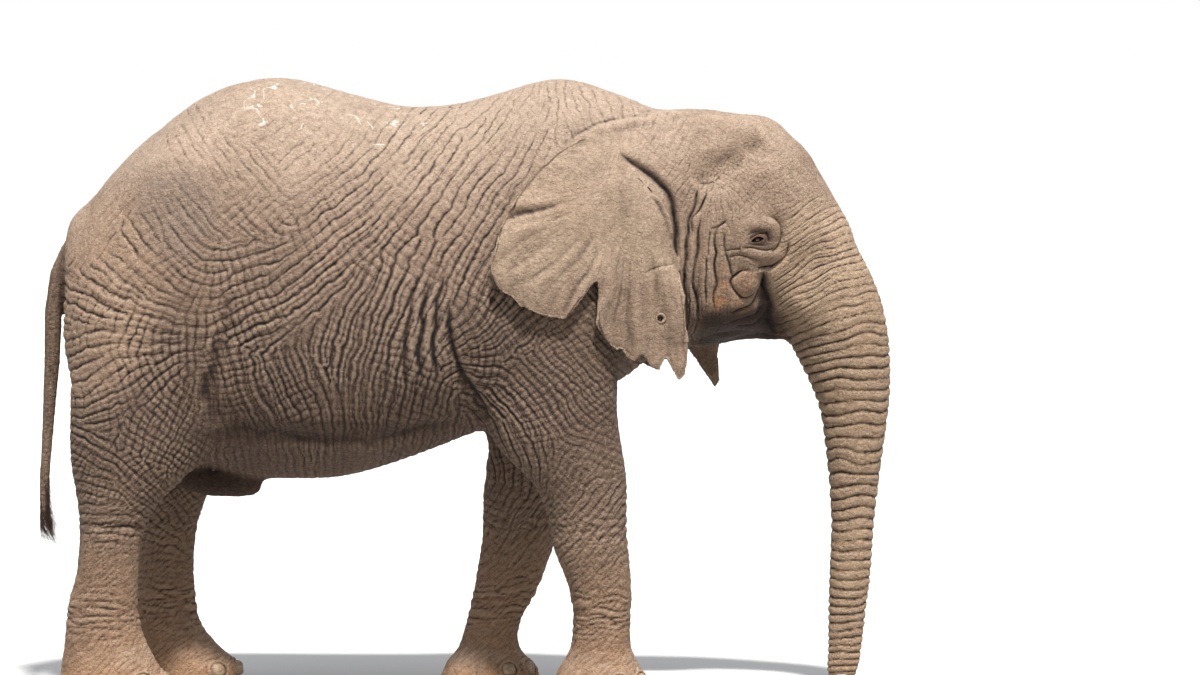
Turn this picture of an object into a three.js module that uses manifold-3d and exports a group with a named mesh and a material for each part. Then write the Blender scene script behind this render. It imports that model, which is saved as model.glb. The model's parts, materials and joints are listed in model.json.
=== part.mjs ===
// A life-size African elephant bull, standing with its trunk hanging and its ears folded back.
// Millimetres, +Z up, +X towards the head, -Y on the elephant's right. The feet stand on z = 0.
//
// The flesh is one smooth field: lofts of oval sections for the body, neck, head, trunk and legs,
// blended where they meet. It is meshed region by region, with finer cells where the form is
// finer, and parted with thin straight cuts into the named parts. Ears, tail, sheath, nails and
// eyes are solids of their own, fitted against the flesh.
import * as THREE from "three";
import { mergeVertices } from "three/addons/utils/BufferGeometryUtils.js";
import Module from "manifold-3d";

const wasm = await Module();
wasm.setup();

// ---- Driving dimensions -------------------------------------------------------------------

const GAP = 0.3; // clearance between neighbouring parts
const SHOULDER = 3200; // height of the withers
const BLEND = 130; // how softly one form runs into the next
const HEAD_BLEND = 60;
const EYE_RADIUS = 24;
const EAR_THICK = 22; // in the middle of the flap
const EAR_RIM = 15; // at its edge
const EAR_REST = 30; // how far the flap lies off the neck and shoulder

// Grid cells of the meshed flesh, longer along the body and along the limbs.
const CELL = {
  torso: [205, 158, 158],
  neck: [135, 130, 130],
  head: [88, 82, 86],
  jaw: [70, 64, 58],
  trunk: [66, 64, 112],
  tip: [26, 26, 25],
  leg: [110, 108, 150],
  foot: [98, 94, 76],
};

// Heights of the level partings.
const ANKLE = 290;
const TRUNK_CUTS = { upper: 1500, middle: 850, lower: 150 };

// Body sections: x, top, bottom, half width, height of the widest point.
const TORSO = [
  [-2090, 2230, 1760, 185, 1980],
  [-2038, 2395, 1620, 290, 1980],
  [-1930, 2603, 1440, 395, 1970],
  [-1720, 2830, 1270, 515, 1960],
  [-1500, 3003, 1195, 590, 1960],
  [-1290, 3142, 1130, 640, 1930],
  [-1080, SHOULDER - 4, 1092, 672, 1890],
  [-870, SHOULDER - 2, 1072, 692, 1860],
  [-550, 3112, 1108, 700, 1860],
  [-235, 3050, 1205, 690, 1890],
  [85, 3096, 1325, 660, 1960],
  [300, 3155, 1370, 630, 2020],
  [510, SHOULDER + 10, 1420, 582, 2080],
  [720, 3145, 1545, 510, 2160],
  [900, 3045, 1690, 400, 2260],
];
const NECK = [
  [620, 3120, 1570, 500, 2300],
  [830, 3075, 1660, 440, 2350],
  [1040, 3026, 1742, 400, 2400],
  [1250, 3015, 1775, 380, 2400],
  [1400, 2975, 1860, 350, 2400],
];

// Head sections: z, centre x, half length in front, half length behind, half width.
const HEAD = [
  [1830, 1370, 190, 190, 140],
  [1900, 1370, 260, 240, 200],
  [2055, 1370, 405, 270, 290],
  [2200, 1385, 535, 285, 345],
  [2365, 1400, 650, 290, 378],
  [2520, 1400, 582, 290, 372],
  [2690, 1390, 492, 290, 352],
  [2845, 1372, 416, 280, 315],
  [2930, 1338, 318, 260, 255],
  [3002, 1268, 172, 195, 155],
];
// Trunk sections: z, centre x, half depth, half width.
const TRUNK = [
  [44, 1988, 78, 60],
  [110, 1998, 93, 72],
  [207, 2008, 104, 84],
  [420, 2021, 116, 97],
  [630, 2036, 123, 104],
  [845, 2047, 126, 112],
  [1055, 2053, 144, 129],
  [1270, 2055, 168, 149],
  [1480, 2052, 200, 172],
  [1690, 2008, 250, 198],
  [1850, 1962, 282, 222],
  [2055, 1905, 292, 240],
  [2290, 1850, 238, 240],
  [2450, 1790, 182, 210],
];

// Leg sections: z, centre x, half length, centre y, half width.
const LEGS = {
  foreleg_right: [
    [0, 718, 256, 395, 238],
    [55, 718, 252, 395, 232],
    [149, 716, 206, 395, 192],
    [212, 719, 166, 395, 164],
    [364, 725, 171, 395, 164],
    [500, 721, 181, 394, 170],
    [600, 704, 190, 393, 176],
    [700, 674, 207, 392, 183],
    [840, 651, 221, 390, 190],
    [982, 640, 232, 388, 198],
    [1118, 590, 276, 386, 210],
    [1217, 530, 324, 384, 220],
    [1332, 482, 354, 380, 232],
    [1500, 455, 362, 372, 246],
    [1800, 470, 350, 350, 268],
    [2200, 520, 310, 318, 268],
    [2700, 540, 220, 250, 220],
  ],
  foreleg_left: [
    [0, 128, 272, 395, 238],
    [63, 121, 252, 395, 224],
    [149, 124, 178, 395, 178],
    [219, 127, 150, 395, 156],
    [407, 190, 181, 395, 166],
    [638, 256, 201, 393, 180],
    [929, 318, 241, 389, 196],
    [1251, 400, 298, 383, 224],
    [1500, 440, 335, 372, 246],
    [1800, 470, 350, 350, 268],
    [2200, 520, 310, 318, 268],
    [2700, 540, 220, 250, 220],
  ],
  hindleg_right: [
    [0, -1812, 288, 362, 226],
    [55, -1812, 286, 362, 222],
    [133, -1833, 266, 362, 200],
    [238, -1854, 226, 362, 172],
    [343, -1872, 212, 362, 165],
    [448, -1872, 201, 362, 162],
    [599, -1854, 182, 362, 160],
    [798, -1840, 174, 362, 166],
    [866, -1822, 190, 362, 176],
    [971, -1783, 226, 362, 194],
    [1076, -1744, 288, 364, 214],
    [1181, -1702, 342, 366, 234],
    [1285, -1680, 370, 368, 250],
    [1495, -1648, 392, 368, 270],
    [1800, -1635, 412, 360, 290],
    [2200, -1600, 410, 330, 282],
    [2700, -1520, 310, 270, 225],
  ],
  hindleg_left: [
    [0, -1485, 282, 362, 228],
    [68, -1484, 288, 362, 222],
    [176, -1545, 238, 362, 188],
    [283, -1592, 198, 362, 170],
    [391, -1600, 188, 362, 163],
    [552, -1602, 172, 362, 160],
    [713, -1596, 168, 362, 162],
    [821, -1596, 184, 362, 172],
    [929, -1585, 207, 362, 188],
    [1076, -1585, 265, 364, 214],
    [1181, -1588, 315, 366, 234],
    [1285, -1600, 352, 368, 250],
    [1495, -1618, 385, 368, 270],
    [1800, -1630, 412, 360, 290],
    [2200, -1600, 410, 330, 282],
    [2700, -1520, 310, 270, 225],
  ],
};

// Tail line: x, z, radius.
const TAIL = [
  [-1985, 2375, 78],
  [-2072, 2275, 62],
  [-2128, 2160, 57],
  [-2161, 1960, 52],
  [-2168, 1705, 47],
  [-2182, 1495, 40],
  [-2195, 1284, 34],
  [-2210, 1074, 31],
  [-2213, 870, 25],
];
const TAIL_END = 905; // where the hairs of the tuft begin
const TUFT = [
  [-2213, 940, 20, 24],
  [-2208, 850, 24, 44],
  [-2194, 790, 15, 30],
  [-2184, 752, 5, 9],
];
// Sheath line: x, z, half height, half width.
const SHEATH = [
  [-1600, 1195, 78, 70],
  [-1480, 1100, 82, 70],
  [-1340, 1052, 74, 66],
  [-1190, 1044, 70, 62],
  [-1095, 1046, 62, 55],
  [-1056, 1049, 36, 33],
];

// The flap of an ear about a point of its root, seen from the side: turn (degrees from straight
// ahead, over the top and round the back) and reach of the smooth edge.
const EAR_ROOT = [880, 2421];
const EAR_EDGE = [
  [-29, 300],
  [7, 240],
  [45, 265],
  [67, 340],
  [81, 430],
  [97, 505],
  [124, 524],
  [148, 556],
  [165, 610],
  [186, 700],
  [202, 772],
  [219, 695],
  [234, 600],
  [249, 545],
  [257, 612],
  [271, 707],
  [280, 766],
  [287.3, 845],
  [289.8, 824],
  [292.4, 762],
  [296, 655],
  [304, 490],
  [315, 355],
  [331, 300],
];
// The tips of the lobes along the lower edge.
const LOBES = [261, 271, 277.4, 279.8, 287.3, 289.8, 292.4];
// Where the edge is torn: turn, width before and after it in degrees, depth.
const TEARS = [
  [211, 5, 5, 22],
  [237.6, 2.2, 13, 262],
  [265.5, 2.6, 2.4, 26],
  [275, 2.8, 1.6, 66],
  [284.6, 3.8, 1.8, 120],
];
const EAR_HOLE = { x: 1030, z: 1938, radius: 20 };
// How each ear hangs: turned forward about its root (degrees), and its size.
const EARS = {
  ear_right: { side: -1, forward: 0, size: 1, tears: TEARS },
  ear_left: { side: 1, forward: 10, size: 1.165, tears: [...TEARS.slice(0, 3), [282.5, 16, 4.6, 300]] },
};

// Nails: turn from straight ahead (degrees, outwards), half width, half height.
const NAILS = {
  fore: [
    [-58, 40, 36],
    [-20, 50, 41],
    [22, 52, 42],
    [62, 44, 38],
  ],
  hind: [
    [-42, 46, 38],
    [0, 56, 42],
    [44, 48, 40],
  ],
};
const NAIL_HEIGHT = 56;

// ---- The field of the flesh ---------------------------------------------------------------

// Smooth curves through rows of [place, value, ...]: returns the values at a place.
function track(rows) {
  const slope = (i, k) => {
    const a = rows[Math.max(i - 1, 0)];
    const b = rows[Math.min(i + 1, rows.length - 1)];
    return (b[k] - a[k]) / (b[0] - a[0]);
  };
  return (at) => {
    const t = THREE.MathUtils.clamp(at, rows[0][0], rows.at(-1)[0]);
    let i = rows.findIndex((r, j) => j > 0 && t <= r[0]) - 1;
    if (i < 0) i = rows.length - 2;
    const [a, b] = [rows[i], rows[i + 1]];
    const w = b[0] - a[0];
    const s = (t - a[0]) / w;
    return a.slice(1).map((va, j) => {
      const k = j + 1;
      const [ma, mb] = [slope(i, k) * w, slope(i + 1, k) * w];
      const [s2, s3] = [s * s, s * s * s];
      return (
        (2 * s3 - 3 * s2 + 1) * va + (s3 - 2 * s2 + s) * ma + (3 * s2 - 2 * s3) * b[k] + (s3 - s2) * mb
      );
    });
  };
}

// Roughly how far a point (a, b) is outside the oval with half axes ra and rb.
function ovalDistance(a, b, ra, rb) {
  const k0 = Math.hypot(a / ra, b / rb);
  const k1 = Math.hypot(a / (ra * ra), b / (rb * rb));
  return k1 < 1e-9 ? -Math.min(ra, rb) : (k0 * (k0 - 1)) / k1;
}

// A loft with rounded ends: section(t, p) gives the distance from the oval at t, shrunk by round.
function rounded(from, to, round, along, section) {
  return (p) => {
    const d = section(THREE.MathUtils.clamp(p[along], from + round, to - round), p);
    const past = Math.max(from + round - p[along], p[along] - to + round);
    return Math.hypot(Math.max(d, 0), Math.max(past, 0)) + Math.min(Math.max(d, past), 0) - round;
  };
}

// Lofts along the body: the section has a top, a bottom and a widest height.
function bodyLoft(rows, round) {
  const at = track(rows);
  return rounded(rows[0][0], rows.at(-1)[0], round, "x", (t, p) => {
    const [top, bottom, width, waist] = at(t);
    const rise = p.z > waist ? top - waist : waist - bottom;
    return ovalDistance(p.y, p.z - waist, width - round, rise - round);
  });
}

// Upright lofts: the section is longer in front or behind, and lies at one side of the body.
function uprightLoft(rows, round, read) {
  const at = track(rows);
  return rounded(rows[0][0], rows.at(-1)[0], round, "z", (t, p) => {
    const s = read(at(t));
    const long = p.x > s.x ? s.front : s.back;
    return ovalDistance(p.x - s.x, p.y - s.y, long - round, s.width - round);
  });
}

const headLoft = uprightLoft(HEAD, 90, ([x, front, back, width]) => ({ x, y: 0, front, back, width }));
const trunkLoft = uprightLoft(TRUNK, 24, ([x, deep, width]) => ({ x, y: 0, front: deep, back: deep, width }));
const legLoft = (name) =>
  uprightLoft([[-160, ...LEGS[name][0].slice(1)], ...LEGS[name]], 12, ([x, long, y, width]) => ({
    x,
    y: name.endsWith("right") ? -y : y,
    front: long,
    back: long,
    width,
  }));

// An ellipsoid turned about y, on both sides of the body.
function pairOfBulges([x, y, z], [rx, ry, rz], pitch = 0) {
  const [c, s] = [Math.cos(pitch), Math.sin(pitch)];
  return (p) => {
    const [dx, dz] = [p.x - x, p.z - z];
    const [u, v, w] = [c * dx + s * dz, Math.abs(p.y) - y, c * dz - s * dx];
    const k0 = Math.hypot(u / rx, v / ry, w / rz);
    const k1 = Math.hypot(u / rx ** 2, v / ry ** 2, w / rz ** 2);
    return k1 < 1e-9 ? -Math.min(rx, ry, rz) : (k0 * (k0 - 1)) / k1;
  };
}

// A tapering round limb between two points, flattened or widened across the body.
function limb(a, ra, b, rb, wide = 1) {
  const A = new THREE.Vector3(...a);
  const AB = new THREE.Vector3(...b).sub(A);
  const q = new THREE.Vector3();
  return (p) => {
    q.set(p.x, p.y / wide, p.z).sub(A);
    const t = THREE.MathUtils.clamp(q.dot(AB) / AB.lengthSq(), 0, 1);
    return q.addScaledVector(AB, -t).length() - THREE.MathUtils.lerp(ra, rb, t);
  };
}

// Soft union and soft cut.
function join(a, b, k) {
  const h = Math.max(k - Math.abs(a - b), 0) / k;
  return Math.min(a, b) - (h * h * k) / 4;
}
const carve = (a, b, k) => -join(-a, b, k);

const torso = bodyLoft(TORSO, 120);
const neck = bodyLoft(NECK, 100);
const shoulderBlade = pairOfBulges([560, 330, 2480], [210, 190, 560], 0.12);
const hip = pairOfBulges([-1440, 400, 2640], [240, 170, 230], -0.5);
const legs = Object.fromEntries(Object.keys(LEGS).map((n) => [n, legLoft(n)]));

const cheek = pairOfBulges([1370, 170, 2130], [210, 150, 280]);
const cheekbone = pairOfBulges([1420, 250, 2360], [230, 130, 100], -0.25);
const brow = pairOfBulges([1600, 235, 2440], [130, 95, 110], -0.9);
const temple = pairOfBulges([1490, 455, 2600], [190, 130, 130], -0.6);
const tuskSocket = pairOfBulges([1790, 160, 2090], [150, 105, 230], 0.35);
const lowerJaw = limb([1330, 0, 1990], 188, [1625, 0, 1868], 66, 0.95);
const fingers = [
  limb([2034, 0, 92], 33, [2044, 0, 34], 18, 1.3),
  limb([1946, 0, 88], 31, [1932, 0, 46], 18, 1.3),
];
const nostril = pairOfBulges([1988, 26, 46], [20, 16, 50]);
const eyeSocket = pairOfBulges([1549, 388, 2345], [62, 26, 40], -0.2);

function headField(p) {
  let d = join(headLoft(p), trunkLoft(p), HEAD_BLEND);
  d = join(d, cheek(p), HEAD_BLEND);
  d = join(d, cheekbone(p), HEAD_BLEND);
  d = join(d, brow(p), HEAD_BLEND);
  d = join(d, tuskSocket(p), HEAD_BLEND);
  d = join(d, lowerJaw(p), 30);
  for (const finger of fingers) d = join(d, finger(p), 22);
  d = carve(d, nostril(p), 12);
  d = carve(d, temple(p), 110);
  return carve(d, eyeSocket(p), 30);
}

function flesh(p) {
  let d = torso(p);
  d = join(d, shoulderBlade(p), BLEND);
  d = join(d, hip(p), BLEND);
  for (const name in legs) d = join(d, legs[name](p), BLEND);
  d = join(d, neck(p), BLEND);
  return join(d, headField(p), 100);
}

// ---- Meshing ------------------------------------------------------------------------------

const CORNERS = [0, 1, 2, 3, 4, 5, 6, 7].map((i) => [i & 1, (i >> 1) & 1, i >> 2]);
const EDGES = CORNERS.flatMap((_, a) => [1, 2, 4].filter((bit) => !(a & bit)).map((bit) => [a, a | bit]));

// The surface of a field inside a box as a closed solid: one vertex in each cell that the surface
// crosses, set on the surface, and a pair of triangles across each crossed grid edge.
function meshOf(field, box, cell) {
  const size = new THREE.Vector3(...cell);
  const n = box.getSize(new THREE.Vector3()).divide(size).ceil().addScalar(3);
  const low = box.getCenter(new THREE.Vector3()).sub(n.clone().subScalar(1).multiply(size).divideScalar(2));
  const clip = (p) => Math.max(field(p), box.distanceToPoint(p) || -1e9);
  const place = (i, j, k) => new THREE.Vector3(i, j, k).multiply(size).add(low);
  const index = (i, j, k) => (k * n.y + j) * n.x + i;
  const value = new Float64Array(n.x * n.y * n.z);
  for (let k = 0; k < n.z; k++)
    for (let j = 0; j < n.y; j++)
      for (let i = 0; i < n.x; i++) value[index(i, j, k)] = clip(place(i, j, k));

  const vertices = [];
  const vertexOf = new Map();
  for (let k = 0; k < n.z - 1; k++)
    for (let j = 0; j < n.y - 1; j++)
      for (let i = 0; i < n.x - 1; i++) {
        const at = CORNERS.map(([a, b, c]) => value[index(i + a, j + b, k + c)]);
        const crossed = EDGES.filter(([a, b]) => at[a] < 0 !== at[b] < 0);
        if (!crossed.length) continue;
        const mean = new THREE.Vector3();
        for (const [a, b] of crossed) {
          const s = at[a] / (at[a] - at[b]);
          mean.x += CORNERS[a][0] + s * (CORNERS[b][0] - CORNERS[a][0]);
          mean.y += CORNERS[a][1] + s * (CORNERS[b][1] - CORNERS[a][1]);
          mean.z += CORNERS[a][2] + s * (CORNERS[b][2] - CORNERS[a][2]);
        }
        mean.divideScalar(crossed.length).add(new THREE.Vector3(i, j, k)).multiply(size).add(low);
        vertexOf.set(index(i, j, k), vertices.length);
        vertices.push(settle(clip, mean, Math.min(...cell)));
      }

  const faces = [];
  const around = [
    [[0, 0, 0], [0, -1, 0], [0, -1, -1], [0, 0, -1]],
    [[0, 0, 0], [0, 0, -1], [-1, 0, -1], [-1, 0, 0]],
    [[0, 0, 0], [-1, 0, 0], [-1, -1, 0], [0, -1, 0]],
  ];
  for (let k = 1; k < n.z - 1; k++)
    for (let j = 1; j < n.y - 1; j++)
      for (let i = 1; i < n.x - 1; i++)
        for (const axis of [0, 1, 2]) {
          const a = value[index(i, j, k)] < 0;
          const b = value[index(i + (axis === 0), j + (axis === 1), k + (axis === 2))] < 0;
          if (a === b) continue;
          const quad = around[axis].map(([x, y, z]) => vertexOf.get(index(i + x, j + y, k + z)));
          if (!a) quad.reverse();
          const [v0, v1, v2, v3] = quad.map((v) => vertices[v]);
          const split = v0.distanceTo(v2) < v1.distanceTo(v3) ? [0, 1, 2, 0, 2, 3] : [1, 2, 3, 1, 3, 0];
          faces.push(...split.map((s) => quad[s]));
        }
  return new wasm.Manifold(
    new wasm.Mesh({
      numProp: 3,
      vertProperties: new Float32Array(vertices.flatMap((v) => v.toArray())),
      triVerts: new Uint32Array(faces),
    }),
  );
}

// Moves a point onto the field's surface, by no more than a cell.
function settle(field, start, cell) {
  const p = start.clone();
  const e = 1.5;
  for (let step = 0; step < 4; step++) {
    const d = field(p);
    const g = new THREE.Vector3(
      field(p.clone().setX(p.x + e)) - field(p.clone().setX(p.x - e)),
      field(p.clone().setY(p.y + e)) - field(p.clone().setY(p.y - e)),
      field(p.clone().setZ(p.z + e)) - field(p.clone().setZ(p.z - e)),
    ).divideScalar(2 * e);
    if (g.lengthSq() < 0.04) break;
    p.addScaledVector(g, -d / g.lengthSq());
  }
  return p.distanceTo(start) < cell ? p : start;
}

// A three.js geometry with its corners merged, ready for cutting.
function welded(geometry) {
  const g = geometry.clone();
  g.deleteAttribute("normal");
  g.deleteAttribute("uv");
  return mergeVertices(g, 1e-3);
}

function solid(geometry) {
  const g = welded(geometry);
  return new wasm.Manifold(
    new wasm.Mesh({
      numProp: 3,
      vertProperties: g.attributes.position.array,
      triVerts: new Uint32Array(g.index.array),
    }),
  );
}

// The same shape with every face moved out by at least a distance.
function swollen(geometry, by) {
  const g = welded(geometry);
  const position = g.attributes.position;
  const corner = (i) => new THREE.Vector3().fromBufferAttribute(position, i);
  const meeting = Array.from({ length: position.count }, () => []);
  for (let i = 0; i < g.index.count; i += 3) {
    const at = [0, 1, 2].map((j) => g.index.getX(i + j));
    const face = new THREE.Triangle(...at.map(corner)).getNormal(new THREE.Vector3());
    for (const v of at) meeting[v].push(face);
  }
  const moved = meeting.map((faces, i) => {
    const out = faces.reduce((sum, n) => sum.add(n), new THREE.Vector3()).normalize();
    const least = Math.min(...faces.map((n) => n.dot(out)));
    return corner(i).addScaledVector(out, by / Math.max(least, 0.3));
  });
  moved.forEach((v, i) => position.setXYZ(i, ...v.toArray()));
  return g;
}

const largest = (m) => m.decompose().reduce((a, b) => (a.volume() > b.volume() ? a : b));

// A closed tube of rings of points, each ring listed the same way round.
function tube(rings) {
  const around = rings[0].length;
  const points = [...rings.flat(), centreOf(rings[0]), centreOf(rings.at(-1))];
  const first = rings.length * around;
  const index = [];
  for (let r = 0; r < rings.length; r++)
    for (let i = 0; i < around; i++) {
      const [a, b] = [r * around + i, r * around + ((i + 1) % around)];
      if (r === 0) index.push(first, b, a);
      if (r === rings.length - 1) index.push(first + 1, a, b);
      else index.push(a, b, b + around, a, b + around, a + around);
    }
  return new THREE.BufferGeometry().setFromPoints(points).setIndex(index);
}
const centreOf = (ring) =>
  ring.reduce((sum, p) => sum.add(p), new THREE.Vector3()).divideScalar(ring.length);

// ---- Parting ------------------------------------------------------------------------------

// A cutting plane across the body through two points of its side view. It keeps what lies on the
// right of the way from the first point to the second.
function across([x0, z0], [x1, z1]) {
  const length = Math.hypot(x1 - x0, z1 - z0);
  const normal = [(z1 - z0) / length, 0, -(x1 - x0) / length];
  return { normal, offset: normal[0] * x0 + normal[2] * z0 };
}
const above = (z) => ({ normal: [0, 0, 1], offset: z });
const outward = (side, y) => ({ normal: [0, side, 0], offset: y });
const flip = ({ normal, offset }) => ({ normal: normal.map((v) => -v), offset: -offset });
const trim = (m, planes, inset = GAP / 2) =>
  planes.reduce((s, p) => s.trimByPlane(p.normal, p.offset + inset), m);

const everything = solid(new THREE.BoxGeometry(12000, 6000, 12000));
const wedge = (planes) => trim(everything, planes, -GAP / 2);
const boxOf = (x0, x1, y0, y1, z0, z1) =>
  new THREE.Box3(new THREE.Vector3(x0, y0, z0), new THREE.Vector3(x1, y1, z1));

const COLLAR = across([700, 1300], [880, 3400]); // keeps the neck side
const NAPE = across([1265, 1500], [1120, 3300]); // keeps the head side
const JAW_LINE = across([1100, 1925], [1800, 1925]); // keeps what is below
const LIPS = across([1720, 1640], [1640, 2140]); // keeps the trunk side
const TRUNK_ROOT = across([1600, 1800], [2400, 2330]); // keeps the trunk
const FLOOR = { normal: [0, 0, 1], offset: -GAP / 2 };

const LEG_ROOM = {
  foreleg: [across([-70, 1254], [900, 1640]), across([-70, -100], [-70, 1254])],
  hindleg: [across([-2300, 1840], [-1200, 1110]), across([-1200, 1110], [-1200, -100])],
};
const INNER_SIDE = 128; // the limbs are parted from the trunk of the body this far off its middle
const room = (kind, side) => [...LEG_ROOM[kind], outward(side, INNER_SIDE)];
const jawRoom = [JAW_LINE, NAPE, flip(LIPS)];

const parts = new Map();

function addBody() {
  const box = boxOf(-2400, 1100, -1000, 1000, 850, 3400);
  let body = trim(meshOf(flesh, box, CELL.torso), [flip(COLLAR)]);
  const neckMesh = meshOf(flesh, boxOf(560, 1500, -900, 900, 1150, 3400), CELL.neck);
  let neckPart = trim(neckMesh, [COLLAR, flip(NAPE)]);
  for (const kind of ["foreleg", "hindleg"])
    for (const side of [-1, 1]) {
      body = body.subtract(wedge(room(kind, side)));
      neckPart = neckPart.subtract(wedge(room(kind, side)));
    }
  parts.set("torso", largest(body));
  parts.set("neck", largest(neckPart));
}

function addLegs() {
  for (const name of Object.keys(LEGS)) {
    const [kind, hand] = name.split("_");
    const side = hand === "right" ? -1 : 1;
    const rows = LEGS[name];
    const x0 = Math.min(...rows.map(([, x, long]) => x - long)) - 100;
    const x1 = Math.max(...rows.map(([, x, long]) => x + long)) + 100;
    const y = side < 0 ? [-800, 20] : [-20, 800];
    const whole = meshOf(flesh, boxOf(x0, x1, ...y, -60, 1950), CELL.leg);
    parts.set(name, largest(trim(whole, [...room(kind, side), above(ANKLE)])));
    const foot = meshOf(flesh, boxOf(x0, x1, ...y, -140, 470), CELL.foot);
    parts.set(name.replace("leg", "foot"), largest(trim(foot, [flip(above(ANKLE)), FLOOR])));
  }
}

function addHead() {
  const skullBox = boxOf(1040, 2500, -620, 620, 1500, 3300);
  const skull = trim(meshOf(flesh, skullBox, CELL.head), [NAPE, flip(TRUNK_ROOT)]);
  parts.set("head", largest(skull.subtract(wedge(jawRoom))));
  const jaw = trim(meshOf(flesh, boxOf(1060, 1840, -500, 500, 1500, 2100), CELL.jaw), jawRoom);
  parts.set("lower_jaw", largest(jaw));
}

function addTrunk() {
  const { upper, middle, lower } = TRUNK_CUTS;
  const column = (z0, z1, cell) => meshOf(flesh, boxOf(1640, 2500, -460, 460, z0 - 150, z1 + 150), cell);
  parts.set("trunk_upper", largest(trim(column(upper, 2450, CELL.trunk), [TRUNK_ROOT, LIPS, above(upper)])));
  parts.set("trunk_middle", trim(column(middle, upper, CELL.trunk), [flip(above(upper)), above(middle)]));
  parts.set("trunk_lower", trim(column(lower, middle, CELL.trunk), [flip(above(middle)), above(lower)]));
  parts.set("trunk_tip", trim(column(0, lower, CELL.tip), [flip(above(lower))]));
}

// ---- Ears, eyes, tail and nails -----------------------------------------------------------

// How far out the flesh reaches at a place of the side view, or 0 where there is none.
function fleshSide(x, z) {
  const p = new THREE.Vector3(x, 0, z);
  let [out, inn] = [1000, -1];
  for (let y = 960; y >= 0; y -= 40) {
    p.y = y;
    if (flesh(p) < 0) {
      inn = y;
      break;
    }
    out = y;
  }
  if (inn < 0) return 0;
  for (let i = 0; i < 9; i++) {
    p.y = (out + inn) / 2;
    if (flesh(p) < 0) inn = p.y;
    else out = p.y;
  }
  return (out + inn) / 2;
}

// The edge of the flap at a turn: a smooth curve round the table, with the tears cut in.
const earCurve = track([
  ...EAR_EDGE.slice(-2).map(([turn, reach]) => [turn - 360, reach]),
  ...EAR_EDGE,
  ...EAR_EDGE.slice(0, 2).map(([turn, reach]) => [turn + 360, reach]),
]);
function earReach(turn, tears) {
  const cut = ([at, before, after, depth]) =>
    depth * Math.max(0, 1 - Math.max((at - turn) / before, (turn - at) / after));
  return earCurve(turn)[0] - tears.reduce((sum, tear) => sum + cut(tear), 0);
}

// The turns at which the edge is drawn: evenly round, closer along the ragged lower edge.
function earTurns(tears) {
  const turns = [];
  for (let t = -29; t < 198; t += 15) turns.push(t);
  for (let t = 201; t < 331; t += 8) turns.push(t);
  const marks = [...LOBES, ...tears.flatMap(([at, before, after]) => [at - before, at, at + after])];
  const apart = (t) => marks.every((mark) => Math.abs(t - mark) > 2.4);
  return [...turns.filter(apart), ...marks].sort((a, b) => a - b);
}

// How far out the middle of the flap lies: on a slanting sheet, or resting on the neck and
// shoulder where they are further out. The front edge sinks into the side of the head.
function earSide(x, z, turn, part) {
  const lean = 1 - 0.42 * THREE.MathUtils.smoothstep(z, 2450, 3000);
  const sheet = THREE.MathUtils.mapLinear(x, 150, 1180, 690, 452) * lean;
  const lift = EAR_REST + 26 * part * THREE.MathUtils.smoothstep(turn, 120, 190);
  const skin = fleshSide(x, z);
  const rest = -join(-sheet, -(skin + lift), 90);
  const front = 1 - THREE.MathUtils.smoothstep(turn, 84, 112) + THREE.MathUtils.smoothstep(turn, 306, 322);
  const sunk = front * THREE.MathUtils.smoothstep(part, 0.5, 1);
  return skin > 0 ? THREE.MathUtils.lerp(rest, skin - 42, sunk) : rest;
}

function ear({ side, forward, size, tears }) {
  const rows = [0.42, 0.74, 1];
  const turns = earTurns(tears);
  const cache = new Map();
  const middle = (x, z, turn, part) => {
    const key = `${x.toFixed(2)},${z.toFixed(2)}`;
    if (!cache.has(key)) cache.set(key, earSide(x, z, turn, part));
    return cache.get(key);
  };
  const spot = (turn, part, face) => {
    const a = THREE.MathUtils.degToRad(turn + forward);
    const reach = (r) => [EAR_ROOT[0] + r * Math.cos(a), EAR_ROOT[1] + r * Math.sin(a)];
    const r = earReach(turn, tears) * size * part;
    const half = (THREE.MathUtils.lerp(EAR_THICK, EAR_RIM, part) / 2) * 1.15;
    const [x, z] = reach(r);
    return new THREE.Vector3(x, side * (middle(x, z, turn, part) + face * half), z);
  };
  const ring = (part, face) => turns.map((turn) => spot(turn, part, face));
  const rings = [...rows.map((r) => ring(r, -1)), ...rows.map((r) => ring(r, 1)).reverse()];
  return tube(side < 0 ? rings : rings.map((r) => [...r].reverse()));
}

// A tube along rows of x, z, half height, half width; the rings stand square to the line.
function sweep(rows, around) {
  const at = rows.map(([x, z]) => new THREE.Vector3(x, 0, z));
  const rings = rows.map(([, , high, wide = high], i) => {
    const from = at[Math.max(i - 1, 0)];
    const to = at[Math.min(i + 1, rows.length - 1)];
    const along = to.clone().sub(from).normalize();
    const up = new THREE.Vector3(-along.z, 0, along.x);
    return Array.from({ length: around }, (_, k) => {
      const a = (2 * Math.PI * k) / around;
      return at[i]
        .clone()
        .addScaledVector(up, high * Math.cos(a))
        .setY(-wide * Math.sin(a));
    });
  });
  return tube(rings);
}

// Cuts room for a set-in part out of the flesh, and adds the part.
function setIn(name, geometry, hosts) {
  const hole = solid(swollen(geometry, GAP));
  for (const host of hosts) parts.set(host, largest(parts.get(host).subtract(hole)));
  parts.set(name, solid(geometry));
}

function addEars() {
  for (const [name, hang] of Object.entries(EARS)) setIn(name, ear(hang), ["head", "neck", "torso"]);
  const hole = new THREE.CylinderGeometry(EAR_HOLE.radius, EAR_HOLE.radius, 400, 8);
  hole.translate(EAR_HOLE.x, -500, EAR_HOLE.z);
  parts.set("ear_right", parts.get("ear_right").subtract(solid(hole)));
}

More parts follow.
